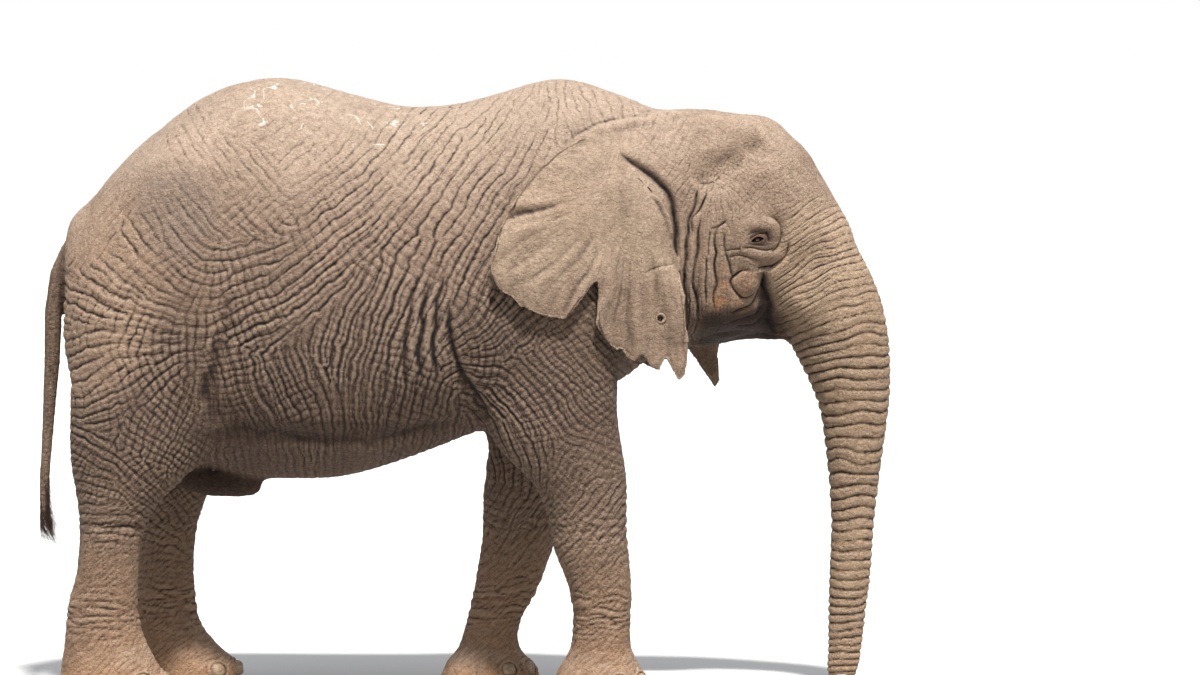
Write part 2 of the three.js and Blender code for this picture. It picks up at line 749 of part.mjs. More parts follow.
function addTail() {
  setIn("tail", sweep(TAIL, 9), ["torso"]);
  parts.set("tail", trim(parts.get("tail"), [above(TAIL_END)]));
  parts.set("tail_tuft", trim(solid(sweep(TUFT, 7)), [flip(above(TAIL_END))]));
  setIn("sheath", sweep(SHEATH, 10), ["torso"]);
}

const EYE = [1535, 2342];
const EYE_SINK = 13; // how deep the middle of the eye lies under the skin
function addEyes() {
  const out = fleshSide(...EYE) - EYE_SINK;
  for (const [hand, side] of [["right", -1], ["left", 1]]) {
    const ball = new THREE.SphereGeometry(EYE_RADIUS, 10, 7).translate(EYE[0], side * out, EYE[1]);
    setIn(`eye_${hand}`, ball, ["head"]);
  }
}

// The edge of a foot seen from above, in a direction from its middle.
function footEdge([cx, cy], direction) {
  const p = new THREE.Vector3();
  let [inn, out] = [60, 420];
  for (let i = 0; i < 16; i++) {
    const r = (inn + out) / 2;
    p.set(cx + r * direction.x, cy + r * direction.y, NAIL_HEIGHT);
    if (flesh(p) < 0) inn = r;
    else out = r;
  }
  return p.clone();
}

function nail(centre, outwards, wide, high) {
  const sideways = new THREE.Vector3(-outwards.y, outwards.x, 0);
  const ring = (part, depth) =>
    Array.from({ length: 8 }, (_, k) => {
      const a = (2 * Math.PI * (k + 0.5)) / 8;
      return centre
        .clone()
        .addScaledVector(outwards, depth)
        .addScaledVector(sideways, wide * part * Math.cos(a))
        .setZ(centre.z + high * part * Math.sin(a));
    });
  return tube([ring(1.02, -22), ring(0.84, 9)]);
}

function addNails() {
  for (const name of Object.keys(LEGS)) {
    const [kind, hand] = name.split("_");
    const side = hand === "right" ? -1 : 1;
    const [, x, , y] = LEGS[name][1];
    const foot = name.replace("leg", "foot");
    NAILS[kind.slice(0, 4)].forEach(([turn, wide, high], i) => {
      const a = THREE.MathUtils.degToRad(turn) * side;
      const outwards = new THREE.Vector3(Math.cos(a), Math.sin(a), 0);
      const edge = footEdge([x, side * y], outwards);
      setIn(`nail_${foot}_${i + 1}`, nail(edge, outwards, wide, high), [foot]);
    });
  }
}

for (const add of [addBody, addLegs, addHead, addTrunk, addEars, addTail, addEyes, addNails]) add();

// ---- The group ----------------------------------------------------------------------------

const HIDE = { color: 0x8b7a68, roughness: 0.92 };
const LOOKS = [
  [/^ear/, { color: 0x968572, roughness: 0.9 }],
  [/^tail_tuft/, { color: 0x2b2622, roughness: 0.8 }],
  [/^sheath/, { color: 0x5f5148, roughness: 0.9 }],
  [/^eye/, { color: 0x2a1a10, roughness: 0.12 }],
  [/^nail/, { color: 0xa89a84, roughness: 0.6 }],
  [/^(fore|hind)(leg|foot)/, { color: 0x7a6a5b, roughness: 0.93 }],
];

function meshFrom(name, part) {
  const { numProp, vertProperties, triVerts } = part.getMesh();
  const points = [];
  for (let i = 0; i < vertProperties.length; i += numProp)
    points.push(vertProperties[i], vertProperties[i + 1], vertProperties[i + 2]);
  const geometry = new THREE.BufferGeometry();
  geometry.setAttribute("position", new THREE.Float32BufferAttribute(points, 3));
  geometry.setIndex([...triVerts]);
  geometry.computeVertexNormals();
  const look = LOOKS.find(([names]) => names.test(name))?.[1] ?? HIDE;
  const mesh = new THREE.Mesh(geometry, new THREE.MeshStandardMaterial({ metalness: 0, ...look }));
  mesh.name = name;
  return mesh;
}

const elephant = new THREE.Group();
elephant.name = "african_elephant";
for (const [name, part] of parts) elephant.add(meshFrom(name, part));

// The origin is on the floor, under the middle of the whole.
const extent = new THREE.Box3().setFromObject(elephant);
const middle = extent.getCenter(new THREE.Vector3());
elephant.position.set(-middle.x, -middle.y, -extent.min.z);
elephant.updateMatrixWorld(true);

export default elephant;
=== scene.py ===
"""An African elephant bull at life size: one wrinkled hide over the solids, with eyes, nails and
tail hair of their own. Metres, +X towards the head, +Z up, -Y on the elephant's right."""
import json
import math

import bmesh
import bpy
import numpy as np
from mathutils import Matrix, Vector
from mathutils.bvhtree import BVHTree

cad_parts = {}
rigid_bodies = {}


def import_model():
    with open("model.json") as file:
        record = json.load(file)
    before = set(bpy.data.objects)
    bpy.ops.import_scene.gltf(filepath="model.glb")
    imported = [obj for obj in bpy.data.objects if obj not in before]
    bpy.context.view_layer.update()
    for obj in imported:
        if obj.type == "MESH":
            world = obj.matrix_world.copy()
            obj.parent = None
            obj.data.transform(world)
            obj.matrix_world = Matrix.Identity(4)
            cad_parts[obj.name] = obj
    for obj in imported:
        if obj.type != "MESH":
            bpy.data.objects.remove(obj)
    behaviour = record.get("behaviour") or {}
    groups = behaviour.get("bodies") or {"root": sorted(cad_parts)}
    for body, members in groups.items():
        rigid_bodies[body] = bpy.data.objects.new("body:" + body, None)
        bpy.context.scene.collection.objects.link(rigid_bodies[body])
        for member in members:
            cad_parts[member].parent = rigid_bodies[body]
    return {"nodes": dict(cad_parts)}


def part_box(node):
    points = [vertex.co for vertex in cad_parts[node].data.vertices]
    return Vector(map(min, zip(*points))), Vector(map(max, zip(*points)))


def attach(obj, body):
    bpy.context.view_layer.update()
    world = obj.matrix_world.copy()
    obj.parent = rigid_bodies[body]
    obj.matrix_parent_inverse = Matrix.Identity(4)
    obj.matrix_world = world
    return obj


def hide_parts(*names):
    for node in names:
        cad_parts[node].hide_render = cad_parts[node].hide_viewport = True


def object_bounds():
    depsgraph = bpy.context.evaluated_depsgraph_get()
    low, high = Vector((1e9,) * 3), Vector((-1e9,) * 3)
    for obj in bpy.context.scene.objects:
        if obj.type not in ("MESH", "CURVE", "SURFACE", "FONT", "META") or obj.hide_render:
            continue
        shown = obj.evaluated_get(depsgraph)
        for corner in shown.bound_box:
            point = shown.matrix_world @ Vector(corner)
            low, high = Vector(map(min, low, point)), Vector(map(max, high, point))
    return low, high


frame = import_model()
CAD_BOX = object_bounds()
NODES = frame["nodes"]

# ---- Places and sizes ---------------------------------------------------------------------

GRAIN = 0.0087  # spacing of the hide's vertices
SWELL = 0.0012  # how far the solids are swelled to close the partings
COAT_DEPTH = 0.004  # the hide's resting surface lies this far inside the solids
FACE_DEPTH = 1.65  # how much deeper the face's folds are than their rows say
HANDS = {"right": -1, "left": 1}
FLESH = [n for n in NODES if not n.startswith(("eye", "nail", "tail_tuft"))]


def spot(node, along, up):
    """(x, z) at these shares of a CAD node's box, from its rear low corner."""
    low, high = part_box(node)
    return np.array([low.x + along * (high.x - low.x), low.z + up * (high.z - low.z)])


EYE = spot("eye_right", 0.5, 0.5)
EYE_DEPTH = abs(sum(corner.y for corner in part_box("eye_right"))) / 2
EYEBALL = 0.0225  # radius
OPENING = (0.034, 0.0165, 0.0115)  # half length, rise of the upper lid, drop of the lower
OPENING_TILT = math.radians(14)

# Places on the side of the body.
ARMPIT = spot("torso", 0.692, 0.377)
GROIN = spot("torso", 0.309, 0.401)
KNEE = spot("torso", 0.103, -0.105)
EAR_HINGE = EYE + [-0.611, 0.322]

# ---- Small numpy tools --------------------------------------------------------------------


def smoothstep(x, low, high):
    t = np.clip((x - low) / (high - low), 0, 1)
    return t * t * (3 - 2 * t)


def bell(x, middle, width):
    return np.exp(-(((x - middle) / width) ** 2))


def dice(cell, salt):
    """Three repeatable random numbers in 0..1 for each whole-number cell."""
    h = cell[:, 0] * 73856093 ^ cell[:, 1] * 19349663 ^ cell[:, 2] * 83492791
    h ^= (salt + 1) * 2654435761
    h = ((h ^ h >> 15) & 0xFFFFFFFF) * 2246822519 & 0xFFFFFFFF
    h = (h ^ h >> 13) * 3266489917 & 0xFFFFFFFF
    h ^= h >> 16
    return np.stack([h & 1023, h >> 10 & 1023, h >> 20 & 1023], 1) / 1023


def net(p, salt):
    """Distance from the walls of a random net of unit cells: 0 on a wall, about 0.7 inside."""
    home = np.floor(p).astype(np.int64)
    first = np.full(len(p), 9.0)
    second = np.full(len(p), 9.0)
    for step in np.ndindex(3, 3, 3):
        cell = home + (np.array(step) - 1)
        d = np.linalg.norm(cell + 0.12 + 0.76 * dice(cell, salt) - p, axis=1)
        second = np.minimum(second, np.maximum(first, d))
        first = np.minimum(first, d)
    return second - first


def drift(p, salt):
    """Smooth random numbers in -1..1, with features a unit across."""
    home = np.floor(p).astype(np.int64)
    t = p - home
    t = t * t * (3 - 2 * t)
    total = np.zeros(len(p))
    for step in np.ndindex(2, 2, 2):
        weight = np.prod(np.where(np.array(step) == 1, t, 1 - t), axis=1)
        total += weight * dice(home + np.array(step), salt)[:, 0]
    return 2 * total - 1


def sway(p, size, salts):
    """Smooth random offsets in -1..1, one column for each salt, with features of a size."""
    return np.stack([drift(p / size, salt) for salt in salts], 1)


def ellipse(p, centre, radii):
    """1 well inside an ellipse seen from the side, 0 outside, soft between."""
    rho = np.hypot((p[:, 0] - centre[0]) / radii[0], (p[:, 2] - centre[1]) / radii[1])
    return 1 - smoothstep(rho, 0.62, 1.15)


class Web:
    """The neighbours of every vertex, for smoothing over a surface."""

    def __init__(self, edges, count):
        ends = np.concatenate([edges, edges[:, ::-1]])
        ends = ends[np.argsort(ends[:, 0], kind="stable")]
        self.valence = np.maximum(np.bincount(ends[:, 0], minlength=count), 1).astype(np.float32)[:, None]
        turn = np.arange(len(ends)) - np.searchsorted(ends[:, 0], np.arange(count))[ends[:, 0]]
        self.rounds = [ends[turn == k].T.copy() for k in range(turn.max() + 1)]
        self.count = count

    def mean(self, values):
        """Each vertex's average over its neighbours."""
        total = np.zeros_like(values)
        for here, there in self.rounds:
            if len(here) == self.count:
                total += values[there]
            else:
                total[here] += values[there]
        return total / self.valence

    def relax(self, values, strength, times):
        """Moves values towards their neighbours', by a strength for each vertex or number."""
        values = values.astype(np.float32)
        strength = np.asarray(strength, dtype=np.float32)
        for _ in range(times):
            values = values + strength * (self.mean(values) - values)
        return values


# ---- The hide: form -----------------------------------------------------------------------

# How far each part's facets are smoothed out, across the body (y) and in the side view.
SOFTEN = {
    "torso": (1.0, 1.0),
    "neck": (0.9, 0.9),
    "head": (0.28, 0.28),
    "lower_jaw": (0.2, 0.2),
    "trunk_upper": (0.3, 0.3),
    "trunk_middle": (0.3, 0.3),
    "trunk_lower": (0.28, 0.28),
    "trunk_tip": (0.015, 0.015),
    "leg": (0.5, 0.5),
    "foot": (0.12, 0.12),
    "ear": (0.5, 0.02),
    "tail": (0.015, 0.015),
    "sheath": (0.35, 0.35),
}
SOFTENING_REACH = 0.062  # over how wide a stretch the softest parts are smoothed


def softness(node):
    return next(SOFTEN[k] for k in SOFTEN if k in node)


def fuse(nodes):
    """One closed mesh round CAD nodes, its vertices a grain apart."""
    work = bmesh.new()
    for node in nodes:
        work.from_mesh(NODES[node].data)
    bmesh.ops.remove_doubles(work, verts=work.verts, dist=1e-6)
    bmesh.ops.recalc_face_normals(work, faces=work.faces)
    for vert in work.verts:
        vert.co += vert.normal * SWELL
    lump = put("flesh", closed(work, bpy.data.meshes.new("flesh")))
    remesh = lump.modifiers.new("fuse", "REMESH")
    remesh.mode = "VOXEL"
    remesh.voxel_size = GRAIN
    fused = bpy.data.meshes.new_from_object(lump.evaluated_get(bpy.context.evaluated_depsgraph_get()))
    bpy.data.objects.remove(lump)
    return fused


def put(name, data):
    """Puts an object in the scene."""
    thing = bpy.data.objects.new(name, data)
    bpy.context.scene.collection.objects.link(thing)
    return thing


def opened(mesh):
    work = bmesh.new()
    work.from_mesh(mesh)
    return work


def closed(work, mesh):
    work.to_mesh(mesh)
    work.free()
    return mesh


def fetch(items, key, width, kind=float):
    """A property of all items of a mesh, in rows of a width."""
    out = np.empty(len(items) * width, dtype=kind)
    items.foreach_get(key, out)
    return out.reshape(-1, width)


def read(mesh):
    """A mesh's points, and its web of neighbours."""
    edges = fetch(mesh.edges, "vertices", 2, np.int32)
    return fetch(mesh.vertices, "co", 3), Web(edges, len(mesh.vertices))


def write(mesh, points):
    mesh.vertices.foreach_set("co", points.astype(np.float32).ravel())
    mesh.update()


def normals(mesh):
    return fetch(mesh.vertex_normals, "vector", 3)


def nearest_part(points):
    """For each point, the number in FLESH of the part whose surface is nearest."""
    corners, faces, owner = [], [], []
    for number, name in enumerate(FLESH):
        start = len(corners)
        corners += [v.co for v in NODES[name].data.vertices]
        for poly in NODES[name].data.polygons:
            faces.append([start + i for i in poly.vertices])
            owner.append(number)
    tree = BVHTree.FromPolygons(corners, faces)
    return np.array([owner[tree.find_nearest(p)[2]] for p in points.tolist()])


def soften(mesh):
    """Smooths away the facets and partings, most on the torso and least on thin parts."""
    points, web = read(mesh)
    part = nearest_part(points)
    store_regions(mesh, part, web)
    soft = np.array([softness(n) for n in FLESH])[part]
    soft = soft + 0.5 * ellipse(points, EYE + [0.12, 0.60], (0.30, 0.25))[:, None]
    soft = web.relax(np.minimum(soft, 1), 0.6, 24)
    times = int(2 * (SOFTENING_REACH / GRAIN) ** 2 / 0.8)
    points = web.relax(points, 0.8 * soft[:, [1, 0, 1]], times)
    points = web.relax(points, 0.8 * ellipse(points, EYE + [0.06, 0.62], (0.26, 0.16))[:, None], 60)
    points[:, 2] = np.maximum(points[:, 2], 0)
    write(mesh, points)


def refine(mesh, *zones):
    """Halves the spacing of the vertices in each zone in turn, and smooths the new ones in."""
    work = opened(mesh)
    for zone in zones:
        chosen = zone(np.array([v.co for v in work.verts]))
        work.verts.index_update()
        edges = [e for e in work.edges if chosen[e.verts[0].index] and chosen[e.verts[1].index]]
        bmesh.ops.subdivide_edges(work, edges=edges, cuts=1, use_grid_fill=True)
    points, web = read(closed(work, mesh))
    write(mesh, web.relax(points, 0.5 * face_zone(points)[:, None], 4))


def from_eye(points):
    """How far points are from the eye in the side view."""
    return np.hypot(points[:, 0] - EYE[0], points[:, 2] - EYE[1])


def face_zone(points):
    """1 over the face and the front of the ear."""
    return ellipse(points, EYE + [-0.13, -0.05], (0.58, 0.56))


def face_sides(points):
    """The faces of the head that are seen from either side."""
    return (face_zone(points) > 0.3) & (abs(points[:, 1]) > 0.1)


def eye_zone(points):
    """Round the eyes."""
    return (from_eye(points) < 0.15) & (abs(points[:, 1]) > 0.25)


# ---- The hide: folds ----------------------------------------------------------------------


def curve(points, steps=6):
    """A smooth line through points (Catmull-Rom)."""
    p = np.array([points[0], *points, points[-1]], float)
    t = np.linspace(0, 1, steps, endpoint=False)[:, None]
    out = []
    for a, b, c, d in zip(p, p[1:], p[2:], p[3:]):
        bend = 2 * a - 5 * b + 4 * c - d + t * (3 * (b - c) + d - a)
        out.append(b + 0.5 * t * (c - a + t * bend))
    return np.concatenate([*out, p[-1:]])


def distance_along(flat, line):
    """How far flat points are from a line, how far along it (0..1), and on which side of it."""
    best = np.full(len(flat), 9.0)
    share = np.zeros(len(flat))
    side = np.ones(len(flat))
    for n, (a, b) in enumerate(zip(line, line[1:])):
        t = np.clip((flat - a) @ (b - a) / ((b - a) @ (b - a) + 1e-12), 0, 1)
        gap = flat - a - t[:, None] * (b - a)
        d = np.linalg.norm(gap, axis=1)
        nearer = d < best
        best[nearer] = d[nearer]
        share[nearer] = ((n + t) / (len(line) - 1))[nearer]
        side[nearer] = np.sign((b - a)[0] * gap[:, 1] - (b - a)[1] * gap[:, 0])[nearer]
    return best, share, side


def fold(points, facing, height, anchor, line, width, depth):
    """Presses a crease along a line given as offsets from a place in the side view, all in
    millimetres. Two widths give its left side (seen along the line) and its right. A negative
    depth raises a ridge. Ridges, and creases that are broad on the left, are rounded."""
    line = anchor + curve(line) / 1000
    left, right = np.array(width if np.ndim(width) else (width, width)) / 1000
    reach = 4.5 * max(left, right)
    flat = points[:, [0, 2]]
    near = np.all((flat > line.min(0) - reach) & (flat < line.max(0) + reach), axis=1) & (facing != 0)
    p = points[near]
    wander = sway(p, 0.07, (81, 82)) * 0.6 * min(left, right, 0.02)
    d, share, side = distance_along(flat[near] + wander, line)
    taper = smoothstep(share, -0.02, 0.25) * (1 - smoothstep(share, 0.75, 1.02))
    uneven = 1 + 0.3 * drift(p / 0.09, 83)
    spread = np.where(side > 0, left, right)
    shape = np.exp(-np.sqrt((d / spread) ** 2 + 0.02) * 1.1)
    if depth < 0 or left > 0.04:
        shape = bell(d, 0, spread)
    height[near] -= depth / 1000 * shape * taper * uneven * facing[near]


def swell(points, facing, height, anchor, offset, radii, rise):
    """Raises a soft bump, or hollows one, centred at an offset from a place, in millimetres."""
    off = (points[:, [0, 2]] - anchor) * 1000 - offset
    height += rise / 1000 * np.exp(-((off / radii) ** 2).sum(1)) * facing


# Folds of the face, in millimetres: a line of offsets from the eye, width and depth.
FACE_FOLDS = {
    "front of the brow bag": ([(20, 128), (90, 122), (125, 73), (130, 10), (105, -47),
        (70, -70)], (22, 12), 22),
    "upper lid": ([(-45, 2), (-15, 20), (20, 34), (55, 36)], 7, 7),
    "over the lid": ([(-60, 20), (-20, 42), (30, 56)], 8, 5),
    "inner corner": ([(47, 50), (57, 20), (62, -15)], 8, 11),
    "lower lid": ([(-85, -47), (-20, -44), (50, -56), (96, -45)], 9, 10),
    "second lower lid": ([(-50, -22), (-10, -26), (40, -28)], 6, 5),
    "round the eye bags": ([(165, -5), (160, -88), (108, -137), (55, -150), (5, -148)], (12, 18), 20),
    "trunk and cheek": ([(40, -165), (52, -240), (66, -320), (85, -400), (110, -520)], (16, 34), 48),
    "round the cheek bulge": ([(-20, -158), (-83, -166), (-130, -217), (-103, -276), (-63, -307),
        (-13, -296), (30, -255)], 12, 17),
    "behind the cheek bulge": ([(-174, 50), (-166, -68), (-135, -146), (-120, -200)], 11, 11),
    "first cheek fold": ([(-210, 80), (-222, 0), (-215, -70), (-226, -130), (-213, -217), (-225, -300),
        (-216, -380)], 12, 16),
    "short cheek fold": ([(-243, 55), (-250, 0), (-257, -90)], 9, 5),
    "next to the first": ([(-265, -80), (-270, -200), (-262, -330)], 8, 7),
    "second cheek fold": ([(-297, 110), (-314, 30), (-307, -40), (-323, -118), (-331, -217), (-317, -317),
        (-305, -430)], 14, 20),
    "arch over the cheek": ([(-212, 30), (-203, 75), (-178, 95), (-152, 80), (-140, 30)], 12, 3),
    "star behind the eye": ([(-250, 60), (-200, 75), (-150, 115)], 8, 5),
    "behind the cheek": ([(-302, 285), (-332, 172), (-361, 83), (-367, -68), (-372, -265),
        (-361, -480)], 14, 22),
    "below the temple": ([(-250, 270), (-305, 160), (-342, 110), (-345, 0)], 11, 12),
    "under the temple": ([(-300, 300), (-240, 300), (-170, 330)], 16, 5),
    "corner of the mouth": ([(-140, -385), (-34, -356), (26, -296), (58, -247)], 12, 15),
    "lower lip": ([(-160, -440), (-20, -410), (60, -345)], 14, 15),
    "under the lip": ([(-120, -470), (-20, -455), (70, -400)], 12, 11),
    "under the eye": ([(-174, -60), (-120, -50), (-83, -52)], 8, 7),
    "under the eye, lower": ([(-160, -100), (-100, -85), (-30, -100), (30, -115)], 9, 7),
    "temple": ([(-330, 290), (-200, 360), (-60, 450), (50, 540)], 80, 32),
    "ear opening": ([(-730, 455), (-600, 392), (-500, 306), (-447, 225), (-425, 120)], (12, 30), 22),
    "front of the ear": ([(-438, 190), (-424, 100), (-418, 30), (-413, -100)], (12, 16), 30),
    "helix": ([(-545, 250), (-490, 170), (-456, 80), (-440, 10)], 10, -14),
    "lobe crease": ([(-590, -166), (-510, -137), (-430, -118)], 12, 4),
    "top of the ear": ([(-1000, 450), (-920, 536), (-750, 600), (-550, 645), (-300, 686)], 22, -12),
    "over the ear": ([(-980, 500), (-880, 590), (-700, 655), (-500, 690)], 40, 7),
}
# Soft forms of the face, in millimetres: an offset from the eye, radii and rise.
FACE_FORMS = [
    ((72, 75), (40, 40), 18),
    ((5, 40), (55, 20), -12),
    ((-10, 85), (60, 30), 10),
    ((20, -85), (70, 26), 10),
    ((-28, -235), (50, 50), 24),
    ((-270, -120), (40, 250), 8),
    ((-340, -100), (20, 300), 8),
    ((-600, 270), (100, 90), -10),
    ((-120, 180), (160, 90), 10),
    ((-150, -540), (300, 70), -35),
]
# Folds of the body: a place, and in millimetres a line of offsets from it, width and depth.
BODY_FOLDS = {
    "back of the shoulder": (ARMPIT, [(-10, 160), (0, 0), (50, -190), (140, -360), (190, -500)],
        (16, 50), 44),
    "armpit, first": (ARMPIT, [(-30, 300), (-70, 100), (-80, -100), (-60, -280)], 16, 34),
    "armpit, first ridge": (ARMPIT, [(-70, 280), (-105, 100), (-115, -100), (-100, -250)], 18, -12),
    "armpit, second": (ARMPIT, [(-100, 270), (-140, 60), (-160, -120), (-140, -280)], 15, 28),
    "armpit, second ridge": (ARMPIT, [(-140, 260), (-180, 60), (-200, -120), (-180, -280)], 18, -10),
    "armpit, third": (ARMPIT, [(-170, 240), (-210, 40), (-240, -160), (-220, -300)], 14, 20),
    "groin": (GROIN, [(-20, 160), (-30, -20), (-80, -200), (-120, -380), (-60, -560)], (60, 45), 30),
    "edge of the flank": (GROIN, [(-40, -550), (250, -610), (600, -640), (950, -600), (1250, -500)],
        (55, 28), 32),
    "knee": (KNEE, [(-170, 12), (-50, 0), (80, -2), (170, -10)], 14, 14),
}


def nail_place(node):
    """A nail's middle, the way it faces, the way across it, and its half width and height."""
    low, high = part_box(node)
    middle = np.array((low + high) / 2)
    foot_low, foot_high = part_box(node[5:].rsplit("_", 1)[0])
    out = middle - np.array([*((foot_low + foot_high) / 2)[:2], middle[2]])
    out = out / np.linalg.norm(out)
    across = np.array([-out[1], out[0], 0])
    corners = np.array([v.co for v in NODES[node].data.vertices]) - middle
    return middle, out, across, abs(corners @ across).max(), (high.z - low.z) / 2


def cuticles(points, height):
    """A groove round each nail and a soft rim outside it."""
    for node in (n for n in NODES if n.startswith("nail")):
        middle, _, across, wide, high = nail_place(node)
        near = np.all(abs(points - middle) < 0.16, axis=1)
        off = points[near] - middle
        rho = np.hypot(off @ across / wide, off[:, 2] / high)
        rim = bell(rho, 1.32, 0.2) * smoothstep(off[:, 2] / high, -1.0, -0.2)
        height[near] += 0.009 * rim - 0.006 * bell(rho, 1.0, 0.14)


def sculpt(points, facing):
    """How far the folds and forms raise or press each point of the hide."""
    height = np.zeros(len(points))
    for line, width, depth in FACE_FOLDS.values():
        fold(points, facing, height, EYE, line, width, FACE_DEPTH * depth)
    for offset, radii, rise in FACE_FORMS:
        swell(points, facing, height, EYE, offset, radii, rise)
    for place, line, width, depth in BODY_FOLDS.values():
        fold(points, facing, height, place, line, width, depth)
    cuticles(points, height)
    return height


# ---- The hide: wrinkles -------------------------------------------------------------------

# How the creases lie on the body. For each place, in percent of the torso's box in the side view:
# the way they run (degrees from +X), their spacing and depth in millimetres, and the depth of
# the creases across them as a percentage of theirs.
LIE = [
    # rump
    (26, 73, 125, 38, 1.5, 30), (20, 64, 125, 42, 3, 30), (15, 53, 135, 44, 5, 30),
    (8, 50, 145, 50, 7, 40), (36, 73, 130, 36, 1.6, 50), (34, 64, 135, 38, 3, 90),
    (13, 74, 45, 40, 1, 20), (5, 59, 55, 40, 1, 20),
    # thigh
    (6, 41, 160, 52, 8, 80), (6, 34, 17, 46, 7, 70), (13, 38, 168, 50, 8, 80), (19, 40, 155, 45, 7, 50),
    (21, 34, 8, 42, 7, 50), (10, 27, 30, 41, 6, 60), (19, 27, 40, 38, 5, 70), (8, 18, 20, 36, 5, 70),
    (22, 18, 60, 30, 4, 90), (15, 12, 65, 32, 4, 80), (6, 9, 150, 34, 4, 70), (21, 9, 60, 30, 4, 90),
    (13, 3, 135, 30, 4, 90), (15, -3, 135, 32, 5, 40), (7, 0, 170, 32, 4, 70), (8, -9, 0, 34, 3, 50),
    (8, -22, 10, 30, 0.8, 50), (10, -40, 0, 34, 0.5, 50), (28, -10, 120, 34, 1.5, 50),
    (28, -30, 0, 34, 1, 50),
    # groin
    (34, 55, 20, 42, 5, 60), (34, 39, 30, 42, 6, 60), (30, 28, 110, 38, 5, 40), (27, 21, 95, 30, 1.5, 50),
    (33, 21, 115, 40, 6, 30), (37, 18, 125, 40, 6, 25), (43, 23, 118, 38, 6, 25),
    # flank
    (45, 76, 42, 34, 1.4, 60), (52, 63, 42, 40, 5, 40), (43, 51, 33, 42, 5, 50),
    (60, 74, 50, 42, 3.2, 30), (59, 50, 63, 46, 8, 30), (65, 41, 78, 48, 10, 20), (52, 33, 74, 42, 7, 25),
    (52, 16, 88, 38, 6, 25), (64, 21, 75, 40, 6, 40), (63, 73, 50, 46, 4, 30), (66, 55, 60, 52, 8, 20),
    # belly
    (36, 8, 90, 30, 1, 10), (52, 6, 85, 30, 1, 10), (66, 10, 70, 30, 2, 30),
    # back
    (52, 91, 60, 40, 0.8, 20), (38, 91, 30, 40, 0.6, 20), (73, 67, 58, 42, 4.5, 30),
    (75, 82, 52, 36, 2.5, 20), (83, 91, 65, 34, 1.5, 10), (92, 92, 120, 34, 1.5, 10),
    (88, 95, 90, 34, 1.5, 10), (78, 94, 45, 34, 1.5, 10), (75, 49, 68, 42, 8, 40),
    # shoulder
    (71, 36, 40, 34, 4, 50), (74, 28, 175, 36, 6, 40), (80, 36, 42, 30, 3, 60), (84, 27, 135, 30, 3, 60),
    (78, 18, 130, 36, 7, 20), (80, 9, 115, 36, 6, 20), (83, 5, 95, 32, 4, 20), (89, 18, 130, 32, 4, 40),
    (93, 9, 155, 36, 2, 50), (89, 3, 60, 32, 2, 60), (88, -9, 50, 30, 3, 30), (95, -9, 50, 30, 3, 30),
    (93, 36, 130, 30, 3, 60), (93, -25, 40, 30, 1.2, 40), (96, -42, 0, 34, 0.6, 40),
    (78, -10, 60, 32, 1.5, 50), (74, -32, 0, 34, 0.8, 50),
    # head
    (120, 84, 150, 30, 1, 80), (108, 80, 60, 32, 1, 50), (112, 52, 92, 28, 2, 30),
    (116, 38, 80, 28, 2, 30), (130, 62, 35, 34, 2.5, 70), (128, 76, 130, 30, 1.5, 60),
]


def lie_at(points):
    """The lie near each point: angle, spacing, depth and cross depth, in radians and metres."""
    rows = np.array(LIE)
    places = np.array([spot("torso", *row[:2] / 100) for row in rows])
    turn = np.radians(rows[:, 2]) * 2
    values = np.column_stack([np.cos(turn), np.sin(turn), rows[:, 3:] / [1000, 1000, 100]])
    far = (points[:, [0]] - places[:, 0]) ** 2 + (points[:, [2]] - places[:, 1]) ** 2
    share = 1 / (far + 0.06**2) ** 2
    mean = share @ values / share.sum(1)[:, None]
    return np.arctan2(mean[:, 1], mean[:, 0]) / 2, mean[:, 2], mean[:, 3], mean[:, 4]


